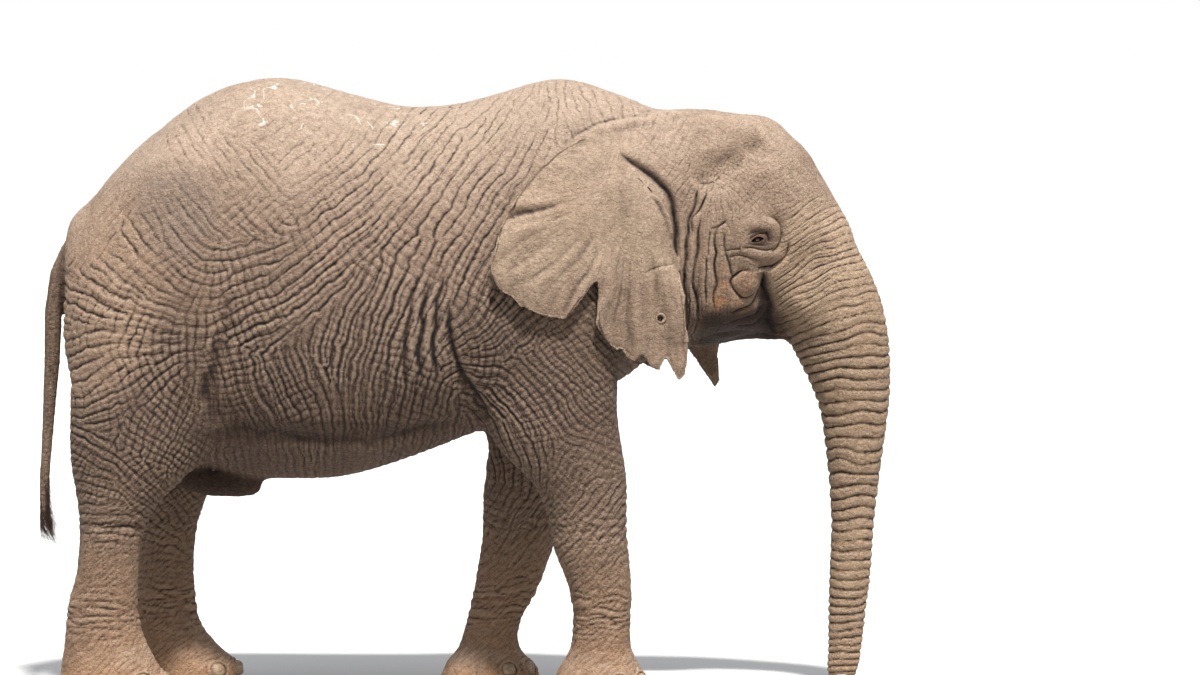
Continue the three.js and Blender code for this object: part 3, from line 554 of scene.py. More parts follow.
class Creases:
    """Nearly parallel creases that follow the lie: a wave in every cell of a grid, each brought
    into step with its neighbours, so that the lines run on, bend, part and end."""

    CELL = np.array([0.05, 0.15, 0.05])

    def __init__(self, salt, turn, stretch, rounds):
        low, high = (np.array(corner) for corner in CAD_BOX)
        self.low = low - 2 * self.CELL
        self.shape = tuple(np.ceil((high - self.low) / self.CELL).astype(int) + 3)
        cells = np.stack(np.indices(self.shape), -1).reshape(-1, 3)
        centres = self.low + (cells + 0.5) * self.CELL
        angle, spacing, depth, cross = lie_at(centres)
        angle = angle + turn + 0.16 * drift(centres / 0.20, salt)
        spacing = spacing * stretch * (1 + 0.16 * drift(centres / 0.25, salt + 1))
        wave = np.stack([-np.sin(angle), np.cos(angle)], 1) * (2 * math.pi / spacing)[:, None]
        phase = np.exp(2j * math.pi * dice(cells, salt)[:, 0])
        phase = self.in_step(phase.reshape(self.shape), wave.reshape(*self.shape, 2), rounds)
        columns = [wave, np.angle(phase).reshape(-1, 1), depth[:, None], cross[:, None]]
        self.table = np.hstack(columns).astype(np.float32)

    def in_step(self, phase, wave, rounds):
        """Turns each cell's wave towards what its neighbours' waves would be there."""
        links = []
        for step in np.ndindex(3, 3, 3):
            step = np.array(step) - 1
            if not step.any():
                continue
            there = np.roll(wave, step, axis=(0, 1, 2))
            flip = (there * wave).sum(-1) < 0
            there = np.where(flip[..., None], -there, there)
            gap = (step * self.CELL)[[0, 2]]
            weight = math.exp(-0.5 * (step @ step))
            links.append((tuple(step), flip, weight * np.exp(0.5j * ((wave + there) @ gap))))
        for _ in range(rounds):
            total = 0.5 * phase
            for step, flip, turn in links:
                there = np.roll(phase, step, axis=(0, 1, 2))
                total = total + np.where(flip, there.conj(), there) * turn
            phase = total / (abs(total) + 1e-9)
        return phase

    def at(self, points):
        """For each point: 0 on a crease to 1 between two, how whole the creases are there, and
        their depth and cross depth."""
        place = ((points - self.low) / self.CELL).astype(np.float32)
        home = np.floor(place).astype(np.int32)
        size = np.array([self.shape[1] * self.shape[2], self.shape[2], 1], dtype=np.int32)
        way = self.table[home @ size][:, :2]
        total = np.zeros((len(points), 5), dtype=np.float32)
        for step in np.ndindex(3, 3, 3):
            cell = home + (np.array(step, dtype=np.int32) - 1)
            row = self.table[cell @ size]
            off = place - cell - np.float32(0.5)
            weight = np.exp(-(off**2).sum(1) / np.float32(2 * 0.42**2))
            turn = (row[:, :2] * off[:, [0, 2]] * self.CELL[[0, 2]].astype(np.float32)).sum(1) + row[:, 2]
            turn *= np.sign((row[:, :2] * way).sum(1) + np.float32(1e-9))
            terms = [np.cos(turn), np.sin(turn), np.ones_like(turn), row[:, 3], row[:, 4]]
            total += weight[:, None] * np.stack(terms, 1)
        away = abs(np.arctan2(total[:, 1], total[:, 0])) / math.pi
        whole = np.hypot(total[:, 0], total[:, 1]) / total[:, 2]
        return away, whole, total[:, 3] / total[:, 2], total[:, 4] / total[:, 2]


def pillow(d, width):
    """Rounded between the creases, sharp at them: 0 on top and -1 in the crease."""
    return -np.exp(-((d / width) ** 1.25))


def body_wrinkles(p):
    """Creases of the torso, shoulder and thigh: a few deep, more that are slight, and those
    that cross them."""
    swayed = p + 0.010 * sway(p, 0.09, (4, 5, 6)) + 0.0075 * sway(p, 0.035, (7, 8, 9))
    height = 0.0012 * drift(p / 0.03, 41)
    for salt, (creases, strength, width) in enumerate(FAMILIES):
        away, whole, depth, cross = creases.at(swayed)
        patchy = np.clip(1 + 0.9 * drift(p / 0.17, 44 + salt), 0.25, 1.8)
        share = 0.15 + cross if creases is CROSSWISE else 1
        depth = strength * depth * share * patchy * smoothstep(whole, 0.15, 0.7)
        height += depth * pillow(away, width)
    return height


# The spacing of the trunk's rings at levels above the floor.
RING_SPACING = [(0, 0.034), (0.5, 0.046), (1.0, 0.060), (1.5, 0.066), (1.9, 0.056), (2.3, 0.040)]


def ring_count(level):
    """How many rings lie between the floor and a level."""
    steps = np.linspace(-0.2, 3.2, 400)
    spacing = np.interp(steps, *zip(*RING_SPACING))
    return np.interp(level, steps, np.cumsum((steps[1] - steps[0]) / spacing))


def trunk_wrinkles(p):
    """Rings round the trunk, close at the tip, that climb from the cheek at its base."""
    front = spot("trunk_upper", 1.0, 0.5)[0]
    droop = 0.06 + 0.55 * smoothstep(p[:, 2], 1.35, 2.05)
    phase = ring_count(p[:, 2] + droop * (front - p[:, 0]) ** 2)
    round_it = p[:, :2] / 0.13
    phase = phase + 0.45 * drift(np.column_stack([round_it, phase / 3.5]), 20)
    ring = np.abs(np.sin(math.pi * phase))
    strength = 0.85 + 0.5 * drift(np.column_stack([p[:, :2] / 0.25, phase * 0.9]), 22)
    thin = net(np.column_stack([phase * 2.1, p[:, :2] / 0.16]), 23)
    cross = net(np.column_stack([phase * 1.6, p[:, :2] / 0.055]), 21)
    calm = 1 - 0.55 * smoothstep(p[:, 2], 1.6, 2.1)
    fine = 0.003 * pillow(thin, 0.3) + 0.0022 * pillow(cross, 0.25)
    return calm * 0.0125 * strength * pillow(ring, 0.42) + fine


def leg_wrinkles(p):
    """A faint net on the legs, and close rings above the feet and at the knee."""
    swayed = p + 0.022 * sway(p, 0.1, (33, 34, 31))
    slant = swayed.copy()
    slant[:, 2] -= 0.8 * slant[:, 0]
    hatch = net(slant / [0.12, 0.12, 0.030], 30)
    rings = net(swayed / [0.22, 0.22, 0.036], 32)
    wrist = bell(p[:, 2], 0.41, 0.14) + 0.6 * bell(p[:, 2], 0.86, 0.10)
    below = 1 - smoothstep(p[:, 2], 1.0, 1.3)
    return 0.0035 * below * pillow(hatch, 0.3) + 0.010 * np.minimum(wrist, 1) * pillow(rings, 0.32)


def ear_wrinkles(p):
    """Low ridges that fan out from the ear's hinge, clearest behind and low down."""
    dx, dz = p[:, 0] - EAR_HINGE[0], p[:, 2] - EAR_HINGE[1]
    far = np.hypot(dx, dz)
    fan = np.arctan2(dz, dx) * 0.6 + 0.03 * drift(p / 0.15, 41)
    ridges = drift(np.stack([fan / 0.045, far / 0.35, p[:, 1] * 0], 1), 42)
    ripples = drift(np.stack([fan / 0.016, far / 0.12, p[:, 1] * 0], 1), 44)
    low = 0.2 + 0.8 * smoothstep(-dz - 0.4 * dx, 0.1, 0.5) * smoothstep(far, 0.3, 0.6)
    waves = (0.016 * ridges * low + 0.0012 * ripples) * smoothstep(far, 0.25, 0.55)
    return waves + 0.0012 * drift(p / 0.03, 43)


def head_wrinkles(p):
    """The lie's creases over the head, and small lumps, but for the smooth skin by the eye."""
    calm = smoothstep(from_eye(p), 0.03, 0.12)
    lumps = 0.0012 * pillow(net(p / 0.021, 52), 0.25) + 0.0022 * drift(p / 0.045, 51)
    return calm * (0.5 * body_wrinkles(p) + lumps)


def even_lumps(p):
    """The slow unevenness of muscle and fat under the hide."""
    return 0.007 * drift(p / 0.34, 60) + 0.004 * drift(p / 0.15, 61)


REGIONS = {
    "torso": (body_wrinkles, ("torso", "neck", "leg_")),
    "leg": (leg_wrinkles, ("leg_", "foot")),
    "trunk": (trunk_wrinkles, ("trunk",)),
    "ear": (ear_wrinkles, ("ear",)),
    "head": (head_wrinkles, ("head", "jaw")),
    "slim": (lambda p: 0.002 * pillow(net(p / [0.05, 0.05, 0.02], 70), 0.3), ("tail", "sheath")),
}


def stored(mesh, name, values=None):
    """Keeps a number for each vertex on the mesh, or reads it back."""
    if values is None:
        return fetch(mesh.attributes[name].data, "value", 1)[:, 0]
    layer = mesh.attributes.get(name) or mesh.attributes.new(name, "FLOAT", "POINT")
    layer.data.foreach_set("value", values.astype(np.float32))


def store_regions(mesh, part, web):
    """Marks how much each vertex belongs to each region, softly."""
    owned = [[any(w in n for w in words) for n in FLESH] for _, words in REGIONS.values()]
    weights = web.relax(np.array(owned, float).T[part], 0.8, int(30 * (0.009 / GRAIN) ** 2))
    for region, weight in zip(REGIONS, weights.T):
        stored(mesh, region, weight)


def wrinkle(points, weights, facing):
    height = even_lumps(points) * np.maximum(weights["torso"], weights["leg"])
    for region, (shape, _) in REGIONS.items():
        on = weights[region] > 0.01
        share = weights[region][on] * (facing[on] if region == "ear" else 1)
        height[on] += share * shape(points[on])
    return height


def facing_side(points, normal, ear):
    """1 where the hide faces out to its side. The inside of an ear counts as -1, so that both
    faces of the thin ear move together."""
    out = normal[:, 1] * np.sign(points[:, 1])
    facing = smoothstep(out, 0.05, 0.4)
    return facing - ear * smoothstep(-out, 0.05, 0.4)


def lid_depth(points):
    """How far from the middle plane the hide lies round the eyes."""
    far = from_eye(points)
    ring = (far > OPENING[0]) & (far < OPENING[0] + 0.012) & (abs(points[:, 1]) > EYE_DEPTH - 0.03)
    return float(np.median(abs(points[ring, 1])))


def open_eyes(points):
    """Presses a pocket into the hide for each eyeball, in the shape of the opening."""
    c, s = math.cos(OPENING_TILT), math.sin(OPENING_TILT)
    dx, dz = points[:, 0] - EYE[0], points[:, 2] - EYE[1]
    u, v = c * dx + s * dz, c * dz - s * dx
    half, rise, drop = OPENING
    lid = np.where(v > 0, rise, drop) * np.clip(1 - (u / half) ** 2, 0, 1)
    inside = (abs(points[:, 1]) > EYE_DEPTH - 0.03) & (abs(u) < half) & (abs(v) < lid)
    points[inside, 1] = np.sign(points[inside, 1]) * (lid_depth(points) - EYEBALL)


def trunk_base(p):
    """The front of the face, where the trunk's rings begin."""
    return ellipse(p, EYE + [0.42, -0.22], (0.46, 0.48)) * smoothstep(p[:, 0] - EYE[0], 0.02, 0.2)


DEEP = Creases(1, 0.0, 1.45, 14)
SLIGHT = Creases(6, 0.0, 0.80, 7)
CROSSWISE = Creases(11, math.radians(80), 1.10, 4)
FAMILIES = ((DEEP, 1.5, 0.24), (SLIGHT, 0.75, 0.40), (CROSSWISE, 1.1, 0.34))

hide_mesh = fuse(FLESH + [f"eye_{hand}" for hand in HANDS])
soften(hide_mesh)
refine(hide_mesh, *[face_sides, eye_zone])

points, web = read(hide_mesh)
weights = {region: stored(hide_mesh, region) for region in REGIONS}
weights["trunk"] = np.maximum(weights["trunk"], weights["head"] * trunk_base(points))
weights["head"] = weights["head"] * (1 - trunk_base(points))
normal = normals(hide_mesh)
facing = facing_side(points, normal, weights["ear"])
height = sculpt(points, facing) + wrinkle(points, weights, facing) - COAT_DEPTH
smooth_points = points
points = points + normal * height[:, None]
points = web.relax(points, 0.25, 1)
points[:, 2] = np.maximum(points[:, 2], 0)
open_eyes(points)
write(hide_mesh, points)

# ---- The hide: marks for the material -----------------------------------------------------


def mark(mesh, name, values):
    stored(mesh, name, np.clip(values, 0, 1))


# Patches of colour seen from the side: name, region, centre and radii.
PATCHES = [
    ("cheek", "head", EYE + [-0.12, -0.29], (0.13, 0.19)),
    ("dish", "torso", spot("torso", 0.21, 0.66), (0.22, 0.30)),
    ("rear", "torso", spot("torso", 0.05, 0.46), (0.42, 0.62)),
    # streaky belly, darkened as painted shade under the body
    ("belly", "torso", spot("torso", 0.44, 0.055), (0.70, 0.10)),
    # brow and trunk base: their own paler tone, and partly a painted highlight on the front of the face
    ("brow", "trunk", EYE + [0.36, -0.10], (0.32, 0.42)),
    ("lobes", "ear", EYE + [-0.70, -0.45], (0.60, 0.30)),
    # painted shade: the lower shoulder and the armpit behind the foreleg
    ("armpit", "torso", spot("torso", 0.74, 0.27), (0.46, 0.42)),
]


def near_lines(points, names, reach):
    """1 on the named folds of the face, fading out at a reach from them."""
    out = np.zeros(len(points))
    for name in names:
        d, share, _ = distance_along(points[:, [0, 2]], EYE + curve(FACE_FOLDS[name][0]) / 1000)
        taper = smoothstep(share, 0.0, 0.2) * (1 - smoothstep(share, 0.8, 1.0))
        out = np.maximum(out, bell(d, 0, reach) * taper)
    return out


def mark_hide(mesh, smooth, points, web, weights, facing):
    """Keeps what the material needs to know of each place on the hide."""
    normal = normals(mesh)
    hollow = np.sum((web.mean(points) - points) * normal, axis=1)
    wide = web.relax(hollow[:, None], 0.7, 3)[:, 0]
    scale = np.where(face_zone(smooth) > 0.3, 0.0005, 0.0011 - 0.0003 * weights["trunk"])
    # crease: darker in the hollows of the folds and wrinkles, a painted shade
    mark(mesh, "crease", hollow / scale * 0.5 + wide / scale)
    # ridge: lighter on the crowns of the folds and wrinkles, partly dusty and partly a painted highlight
    mark(mesh, "ridge", -hollow / scale * 0.5 - wide / scale)
    for region in ("ear", "trunk", "head", "slim"):
        mark(mesh, region, weights[region])
    for name, region, centre, radii in PATCHES:
        mark(mesh, name, weights[region] * ellipse(smooth, centre, radii))
    flecked = ellipse(smooth, spot("torso", 0.40, 0.93), (0.24, 0.20))
    flecked = np.maximum(flecked, ellipse(smooth, spot("torso", 0.58, 0.88), (0.24, 0.17)))
    mark(mesh, "flecked", weights["torso"] * flecked)
    # Painted shade: along the ear's front edge, the ear opening and the trunk's side, in the mouth, and over
    # the lower cheek and jaw that curve in under the head.
    cleft_shadows = near_lines(smooth, ("front of the ear", "ear opening", "trunk and cheek"), 0.017)
    mouth = ellipse(smooth, EYE + [0.055, -0.40], (0.055, 0.13))
    cleft_shadows = np.maximum(cleft_shadows, mouth) * facing * (1 - 0.7 * weights["trunk"])
    jowl_shade = weights["head"] * ellipse(smooth, EYE + [-0.08, -0.50], (0.42, 0.15))
    mark(mesh, "cleft", np.maximum(cleft_shadows, 0.75 * jowl_shade))
    shade = 0.6 * weights["torso"] * ellipse(smooth, spot("torso", 0.46, 0.125), (0.68, 0.075))
    shade = np.maximum(shade, 0.9 * ellipse(smooth, EYE + [0.02, 0.01], (0.075, 0.05)))
    inner = 0.45 * weights["ear"] * smoothstep(-normal[:, 1] * np.sign(points[:, 1]), 0.2, 0.6)
    rear_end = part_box("sheath")[0].x
    sheath = weights["slim"] * smoothstep(smooth[:, 0], rear_end - 0.1, rear_end)
    mark(mesh, "shade", np.maximum.reduce([shade, jowl_shade, inner, sheath]))
    mark(mesh, "rim", weights["ear"] * (1 - smoothstep(abs(normal[:, 1]), 0.3, 0.75)))


mark_hide(hide_mesh, smooth_points, points, web, weights, facing)


def dress(name, mesh, slot, *nodes):
    """Puts a finished mesh in the scene in place of the CAD nodes that it stands for."""
    piece = put(name, mesh)
    mesh.polygons.foreach_set("use_smooth", np.ones(len(mesh.polygons), dtype=bool))
    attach(piece, "root")
    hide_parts(*nodes)
    return piece


dress("hide", hide_mesh, "hide", *FLESH)

# ---- Eyes, nails and tail hair ------------------------------------------------------------


def mesh_of(name, points, faces):
    mesh = bpy.data.meshes.new(name)
    mesh.from_pydata([tuple(p) for p in points], [], faces)
    return mesh


def joined(rings, count, start=0):
    """The faces between rings of points that follow on from each other."""
    sides = [(k, (k + 1) % count) for k in range(count)]
    firsts = range(start, start + count * (rings - 1), count)
    return [(a + k, a + j, a + count + j, a + count + k) for a in firsts for k, j in sides]


def eyeball(hand):
    """A ball whose cornea stands a little proud, facing out to one side."""
    turns = np.linspace(0, 2 * math.pi, 48, endpoint=False)
    polar = np.linspace(0, math.pi, 41)[1:-1]
    points = [(0, 1, 0)]
    for angle in polar:
        across = np.sin(angle) * np.stack([np.cos(turns), np.sin(turns)])
        points.extend(np.stack([across[0], turns * 0 + np.cos(angle), across[1]], 1))
    points = np.array([*points, (0, -1, 0)])
    gaze = np.arccos(np.clip(points[:, 1], -1, 1))
    points *= (EYEBALL + 0.0012 * bell(gaze, 0, 0.5))[:, None]
    faces, last, count = joined(len(polar), len(turns), 1), len(points) - 1, len(turns)
    for k in range(count):
        j = (k + 1) % count
        faces += [(0, 1 + j, 1 + k), (last, last - count + k, last - count + j)]
    if HANDS[hand] < 0:
        points[:, 1] *= -1
        faces = [face[::-1] for face in faces]
    points += (EYE[0], HANDS[hand] * (LID_DEPTH - EYEBALL - 0.0015), EYE[1])
    mesh = mesh_of(f"eyeball_{hand}", points, faces)
    stored(mesh, "gaze", gaze)
    return mesh


# A nail's rings from its middle out, as shares of its size. The last two turn back into the foot.
NAIL_RINGS = (0.0, 0.16, 0.32, 0.48, 0.64, 0.78, 0.89, 0.96, 1.0, 1.02, 1.0)


def nail(node):
    """A thick curved plate, broad and flat below and round above, grown in fine ridges."""
    middle, out, across, wide, high = nail_place(node)
    points = []
    turns = np.linspace(0, 2 * math.pi, 44, endpoint=False)
    square = 1 / (abs(np.cos(turns)) ** 2.6 + abs(np.sin(turns)) ** 2.6) ** (1 / 2.6)
    for ring, part in enumerate(NAIL_RINGS):
        x = 1.04 * wide * part * square * np.cos(turns) * (1 - 0.10 * np.sin(turns))
        z = high * part * square * np.sin(turns)
        stand = 0.021 * (1 - part**5) - 0.010 - x**2 / 0.36 - 0.004 * part * np.sin(turns)
        if ring > 8:
            stand -= 0.012 * (ring - 8)
        points.append(middle + np.outer(stand, out) + np.outer(x, across) + np.outer(z, [0, 0, 1]))
    points = np.concatenate(points)
    grown = 0.0011 * drift(points / [0.05, 0.05, 0.007], 90)
    grown += 0.0006 * drift(points / [0.006, 0.006, 0.05], 91)
    return points + np.outer(grown, out), joined(len(NAIL_RINGS), len(turns))


def nails(foot):
    """A foot's nails as one mesh."""
    points, faces = [], []
    for node in [n for n in NODES if n.startswith(f"nail_{foot}")]:
        more, own = nail(node)
        faces += [tuple(len(points) + corner for corner in face) for face in own]
        points += list(more)
    mesh = mesh_of(f"nails_{foot}", points, faces)
    work = opened(mesh)
    bmesh.ops.remove_doubles(work, verts=work.verts, dist=1e-5)
    rims = bmesh.ops.holes_fill(work, edges=[e for e in work.edges if e.is_boundary])["faces"]
    bmesh.ops.triangulate(work, faces=rims)
    bmesh.ops.recalc_face_normals(work, faces=work.faces)
    return closed(work, mesh)


def tail_axis(level):
    """The middle of the tail at a level, and its radius there."""
    points = np.array([v.co for v in NODES["tail"].data.vertices])
    weight = bell(points[:, 2], level, 0.09)[:, None]
    middle = (points * weight).sum(0) / weight.sum()
    return np.array([middle[0], middle[1], level]), 0.024 + 0.02 * max(level - 0.9, 0)


def tail_hair(strands=620, joints=9):
    """Coarse hairs in two rows along the end of the tail, that hang, and sweep forward below it."""
    random = np.random.default_rng(7)
    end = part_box("tail")[0].z
    points, faces, patches = [], [], []
    for _ in range(strands):
        up = random.random() ** 2.2
        level = end - 0.005 + 0.26 * up
        axis, radius = tail_axis(level)
        heading = (0 if random.random() < 0.6 else math.pi) + random.normal(0, 0.7)
        out = np.array([math.cos(heading), math.sin(heading), 0])
        length = random.uniform(0.08, 0.20) * (1 - 0.45 * up)
        spread = random.uniform(0.0, 0.16) * length
        sweep = np.array([random.uniform(0.005, 0.075) * (1 - up), random.normal(0, 0.014), 0])
        start = len(points)
        for joint, t in enumerate(np.linspace(0, 1, joints)):
            rooted = (0.9 if joint else 0.6) * random.uniform(0.97, 1.0)
            bow = spread * t + radius * (1 - 0.6 * t) * rooted
            middle = axis + out * bow + sweep * t * t + [0, 0, -length * (t - 0.10 * t * t)]
            thick = 0.0015 * (1 - 0.75 * t)
            for corner in range(3):
                turn = corner * 2 * math.pi / 3 + heading
                points.append(middle + thick * np.array([math.cos(turn), math.sin(turn), 0]))
                if joint:
                    patches.append((heading, up, corner, t))
        tip = len(points)
        faces += [*joined(joints, 3, start), (start + 2, start + 1, start), (tip - 3, tip - 2, tip - 1)]
        patches += [(heading, up, 0, 0), (heading, up, 0, 1)]
    mesh = mesh_of("tail_hair", points, [face[::-1] for face in faces])
    unwrap_hair(mesh, patches)
    return mesh


def unwrap_hair(mesh, patches):
    """Gives each hair a small patch of the map, at its root's place on the unrolled tail."""
    layer = mesh.uv_layers.new(name="OFBake")
    for face, (heading, up, corner, t) in zip(mesh.polygons, patches):
        u = 0.02 + 0.95 * ((heading / (2 * math.pi)) % 1.0)
        v = 0.02 + 0.95 * up
        for n, loop in enumerate(face.loop_indices):
            along = t if n < 2 else 0.9 * t
            layer.data[loop].uv = (u + 0.001 * (corner + (n in (1, 2))), v + 0.003 * along)


LID_DEPTH = lid_depth(points)
for hand in HANDS:
    dress(f"eyeball_{hand}", eyeball(hand), "eye", f"eye_{hand}")
FEET = [f"{end}foot_{hand}" for end in ("fore", "hind") for hand in HANDS]
for foot in FEET:
    dress(f"nails_{foot}", nails(foot), "nail", *[n for n in NODES if n.startswith(f"nail_{foot}")])
dress("tail_hair", tail_hair(), "tail_hair", "tail_tuft")

# ---- Materials ----------------------------------------------------------------------------


class Sheet:
    """A material, or the world's light, under construction: makes nodes and joins them."""

    def __init__(self, name, shelf=bpy.data.materials):
        self.owner = shelf.new(name)
        self.owner.use_nodes = True
        self.tree = self.owner.node_tree
        self.place = self.node("ShaderNodeTexCoord").outputs["Object"]

    def node(self, kind, inputs=(), **settings):
        made = self.tree.nodes.new(kind)
        for key, value in settings.items():
            setattr(made, key, value)
        for key, value in dict(inputs).items():
            self.feed(made.inputs[key], value)
        return made

    def feed(self, socket, value):
        if isinstance(value, bpy.types.NodeSocket):
            self.tree.links.new(value, socket)
        else:
            socket.default_value = value

    def math(self, operation, *values, clamp=False):
        made = self.node("ShaderNodeMath", enumerate(values), operation=operation)
        made.use_clamp = clamp
        return made.outputs[0]

    def between(self, value, low, high):
        """0 below low, 1 above high, smooth between."""
        inputs = {"Value": value, "From Min": low, "From Max": high}
        return self.node("ShaderNodeMapRange", inputs, interpolation_type="SMOOTHSTEP").outputs[0]

    def mix(self, share, a, b, blend="MIX"):
        made = self.node("ShaderNodeMix", data_type="RGBA", blend_type=blend)
        for socket, value in zip((0, 6, 7), (share, a, b)):
            self.feed(made.inputs[socket], value)
        return made.outputs[2]

    def ramp(self, value, stops):
        """Colours at given values, blended between."""
        made = self.node("ShaderNodeValToRGB", {"Fac": value})
        elements = made.color_ramp.elements
        while len(elements) < len(stops):
            elements.new(0.5)
        for element, (at, colour) in zip(elements, stops):
            element.position = at
            element.color = colour
        return made.outputs["Color"]

    def noise(self, scale, detail=3.0, roughness=0.55, vector=None):
        inputs = {"Vector": vector or self.place, "Scale": scale, "Detail": detail, "Roughness": roughness}
        return self.node("ShaderNodeTexNoise", inputs).outputs["Fac"]

    def cracks(self, scale):
        """0 on the walls of a random net, rising inside."""
        inputs = {"Vector": self.place, "Scale": scale}
        return self.node("ShaderNodeTexVoronoi", inputs, feature="DISTANCE_TO_EDGE").outputs["Distance"]

    def stretched(self, factors):
        return self.node("ShaderNodeMapping", {"Vector": self.place, "Scale": factors}).outputs[0]

    def mark(self, name):
        return self.node("ShaderNodeAttribute", attribute_name=name).outputs["Fac"]

    def over(self, base, where, share, colour, blend="MIX"):
        """Lays a share of a colour over the places where a value is 1."""
        return self.mix(self.math("MULTIPLY", where, share), base, colour, blend)

    def paint(self, base, name, share, colour, blend="MIX"):
        """Lays a share of a colour over the places that carry a mark."""
        return self.over(base, self.mark(name), share, colour, blend)

    def bump(self, height, distance, under=None):
        made = self.node("ShaderNodeBump", {"Height": height, "Distance": distance, "Strength": 1.0})
        if under:
            self.feed(made.inputs["Normal"], under)
        return made.outputs[0]

    def finish(self, colour, roughness, normal=None, coat=0.0):
        inputs = {"Base Color": colour, "Roughness": roughness, "Coat Weight": coat}
        if normal:
            inputs["Normal"] = normal
        for key, value in inputs.items():
            self.feed(self.tree.nodes["Principled BSDF"].inputs[key], value)
        return self.owner


def rgb(red, green, blue):
    """A linear colour from the usual 0..255 numbers."""
    values = [v / 255 for v in (red, green, blue)]
    return tuple(v / 12.92 if v <= 0.04045 else ((v + 0.055) / 1.055) ** 2.4 for v in values) + (1.0,)


# The hide's colour from the floor up: a share of the height and a colour. Pale by the floor, as the
# feet are dusty; darkest round the belly's level, which is painted shade under the body; palest on
# top, which is dusty and partly a painted highlight where the sun falls on the back.
HIDE_COLOURS_AND_SHADE = [
    (0.00, rgb(212, 164, 124)),
    (0.09, rgb(182, 144, 114)),
    (0.26, rgb(140, 115, 96)),
    (0.44, rgb(88, 65, 52)),
    (0.58, rgb(102, 80, 66)),
    (0.74, rgb(168, 142, 122)),
    (0.88, rgb(210, 184, 163)),
    (1.00, rgb(222, 199, 179)),
]


def hide_material():
    m = Sheet("hide")
    level = m.node("ShaderNodeSeparateXYZ", {0: m.place}).outputs["Z"]
    up = m.node("ShaderNodeSeparateXYZ", {0: m.node("ShaderNodeNewGeometry").outputs["Normal"]}).outputs["Z"]
    uneven = m.math("MULTIPLY_ADD", m.noise(2.0, 3.0), 0.16, -0.08)
    share = m.math("ADD", m.math("DIVIDE", level, 3.2), uneven, clamp=True)
    # Colour by height, with painted shade round the belly's level and a painted highlight on top.
    base = m.ramp(share, HIDE_COLOURS_AND_SHADE)
    streaks = m.between(m.noise(1.0, 3.0, 0.6, m.stretched((60.0, 60.0, 6.0))), 0.35, 0.65)
    for name, strength, colour in (
        ("rear", 0.7, rgb(216, 182, 154)),
        # painted shade round the armpit and the lower shoulder
        ("armpit", 0.55, rgb(84, 62, 50)),
        # streaks on the belly, darkened as painted shade under the body
        ("belly", 0.8, m.mix(streaks, rgb(78, 58, 46), rgb(108, 88, 76))),
        ("slim", 0.85, rgb(100, 78, 62)),
        ("ear", 0.85, rgb(211, 185, 160)),
        ("lobes", 0.6, rgb(160, 134, 114)),
        ("trunk", 0.75, rgb(212, 180, 146)),
        # paler brow: its own tone, and partly a painted highlight on the front of the face
        ("brow", 0.6, rgb(240, 210, 178)),
        ("head", 0.5, rgb(186, 159, 135)),
        ("cheek", m.between(m.noise(11.0, 4.0), 0.34, 0.78), rgb(214, 152, 104)),
        ("dish", 0.45, rgb(160, 142, 132)),
    ):
        base = m.paint(base, name, strength, colour)
    stain = m.between(m.noise(3.1, 5.0, 0.6), 0.45, 0.72)
    base = m.over(base, stain, 0.35, rgb(112, 86, 70))
    ochre = m.between(m.noise(1.3, 4.0, 0.6), 0.5, 0.75)
    base = m.over(base, ochre, 0.25, rgb(166, 130, 98))
    # Paler where the skin faces up, as it is dusty there, and partly as a painted highlight where the sun
    # falls from above.
    dust_and_highlight = m.math("MULTIPLY", m.between(up, 0.05, 0.8), m.between(m.noise(6.0, 6.0, 0.7), 0.25, 0.65))
    base = m.over(base, dust_and_highlight, 0.65, rgb(226, 202, 180))
    base = m.paint(base, "rim", 0.6, rgb(222, 196, 170))
    mottle = m.between(m.noise(26.0, 5.0, 0.7), 0.35, 0.65)
    base = m.over(base, mottle, 0.30, rgb(120, 96, 80), "MULTIPLY")
    speck = m.between(m.noise(85.0, 3.0, 0.6), 0.50, 0.70)
    base = m.over(base, speck, 0.25, rgb(214, 190, 166))
    line = m.math("ABSOLUTE", m.math("SUBTRACT", m.noise(9.0, 1.0), 0.5))
    flecks = m.math("MULTIPLY", m.between(line, 0.015, 0.008), m.between(m.noise(7.0, 2.0), 0.50, 0.54))
    base = m.paint(base, "flecked", flecks, rgb(252, 246, 236))
    cells = m.cracks(46.0)
    pores = m.cracks(150.0)
    # lighter on the ridges: partly dusty, partly a painted highlight
    base = m.paint(base, "ridge", 0.5, rgb(212, 186, 162))
    base = m.over(base, m.between(cells, 0.12, 0.0), 0.16, rgb(120, 96, 82), "MULTIPLY")
    base = m.over(base, m.between(pores, 0.2, 0.0), 0.25, rgb(160, 138, 124), "MULTIPLY")
    base = m.paint(base, "shade", 0.85, rgb(116, 90, 76), "MULTIPLY")
    # painted shade in the creases, broken up by noise
    broken = m.math("MULTIPLY_ADD", m.between(m.noise(13.0), 0.3, 0.6), 0.4, 0.6)
    base = m.paint(base, "crease", broken, rgb(56, 36, 27), "MULTIPLY")
    # painted shade along the face's deep folds, in the mouth and under the jaw
    base = m.paint(base, "cleft", 0.85, rgb(74, 42, 28), "MULTIPLY")
    folded = m.bump(m.between(cells, 0.0, 0.3), 0.0025)
    pitted = m.bump(m.between(pores, 0.0, 0.3), 0.0018, under=folded)
    pebbled = m.bump(m.noise(34.0, 3.0, 0.6), 0.012, under=pitted)
    fine = m.bump(m.noise(95.0, 5.0, 0.7), 0.0045, under=pebbled)
    return m.finish(base, m.math("MULTIPLY_ADD", stain, -0.1, 0.9), fine)


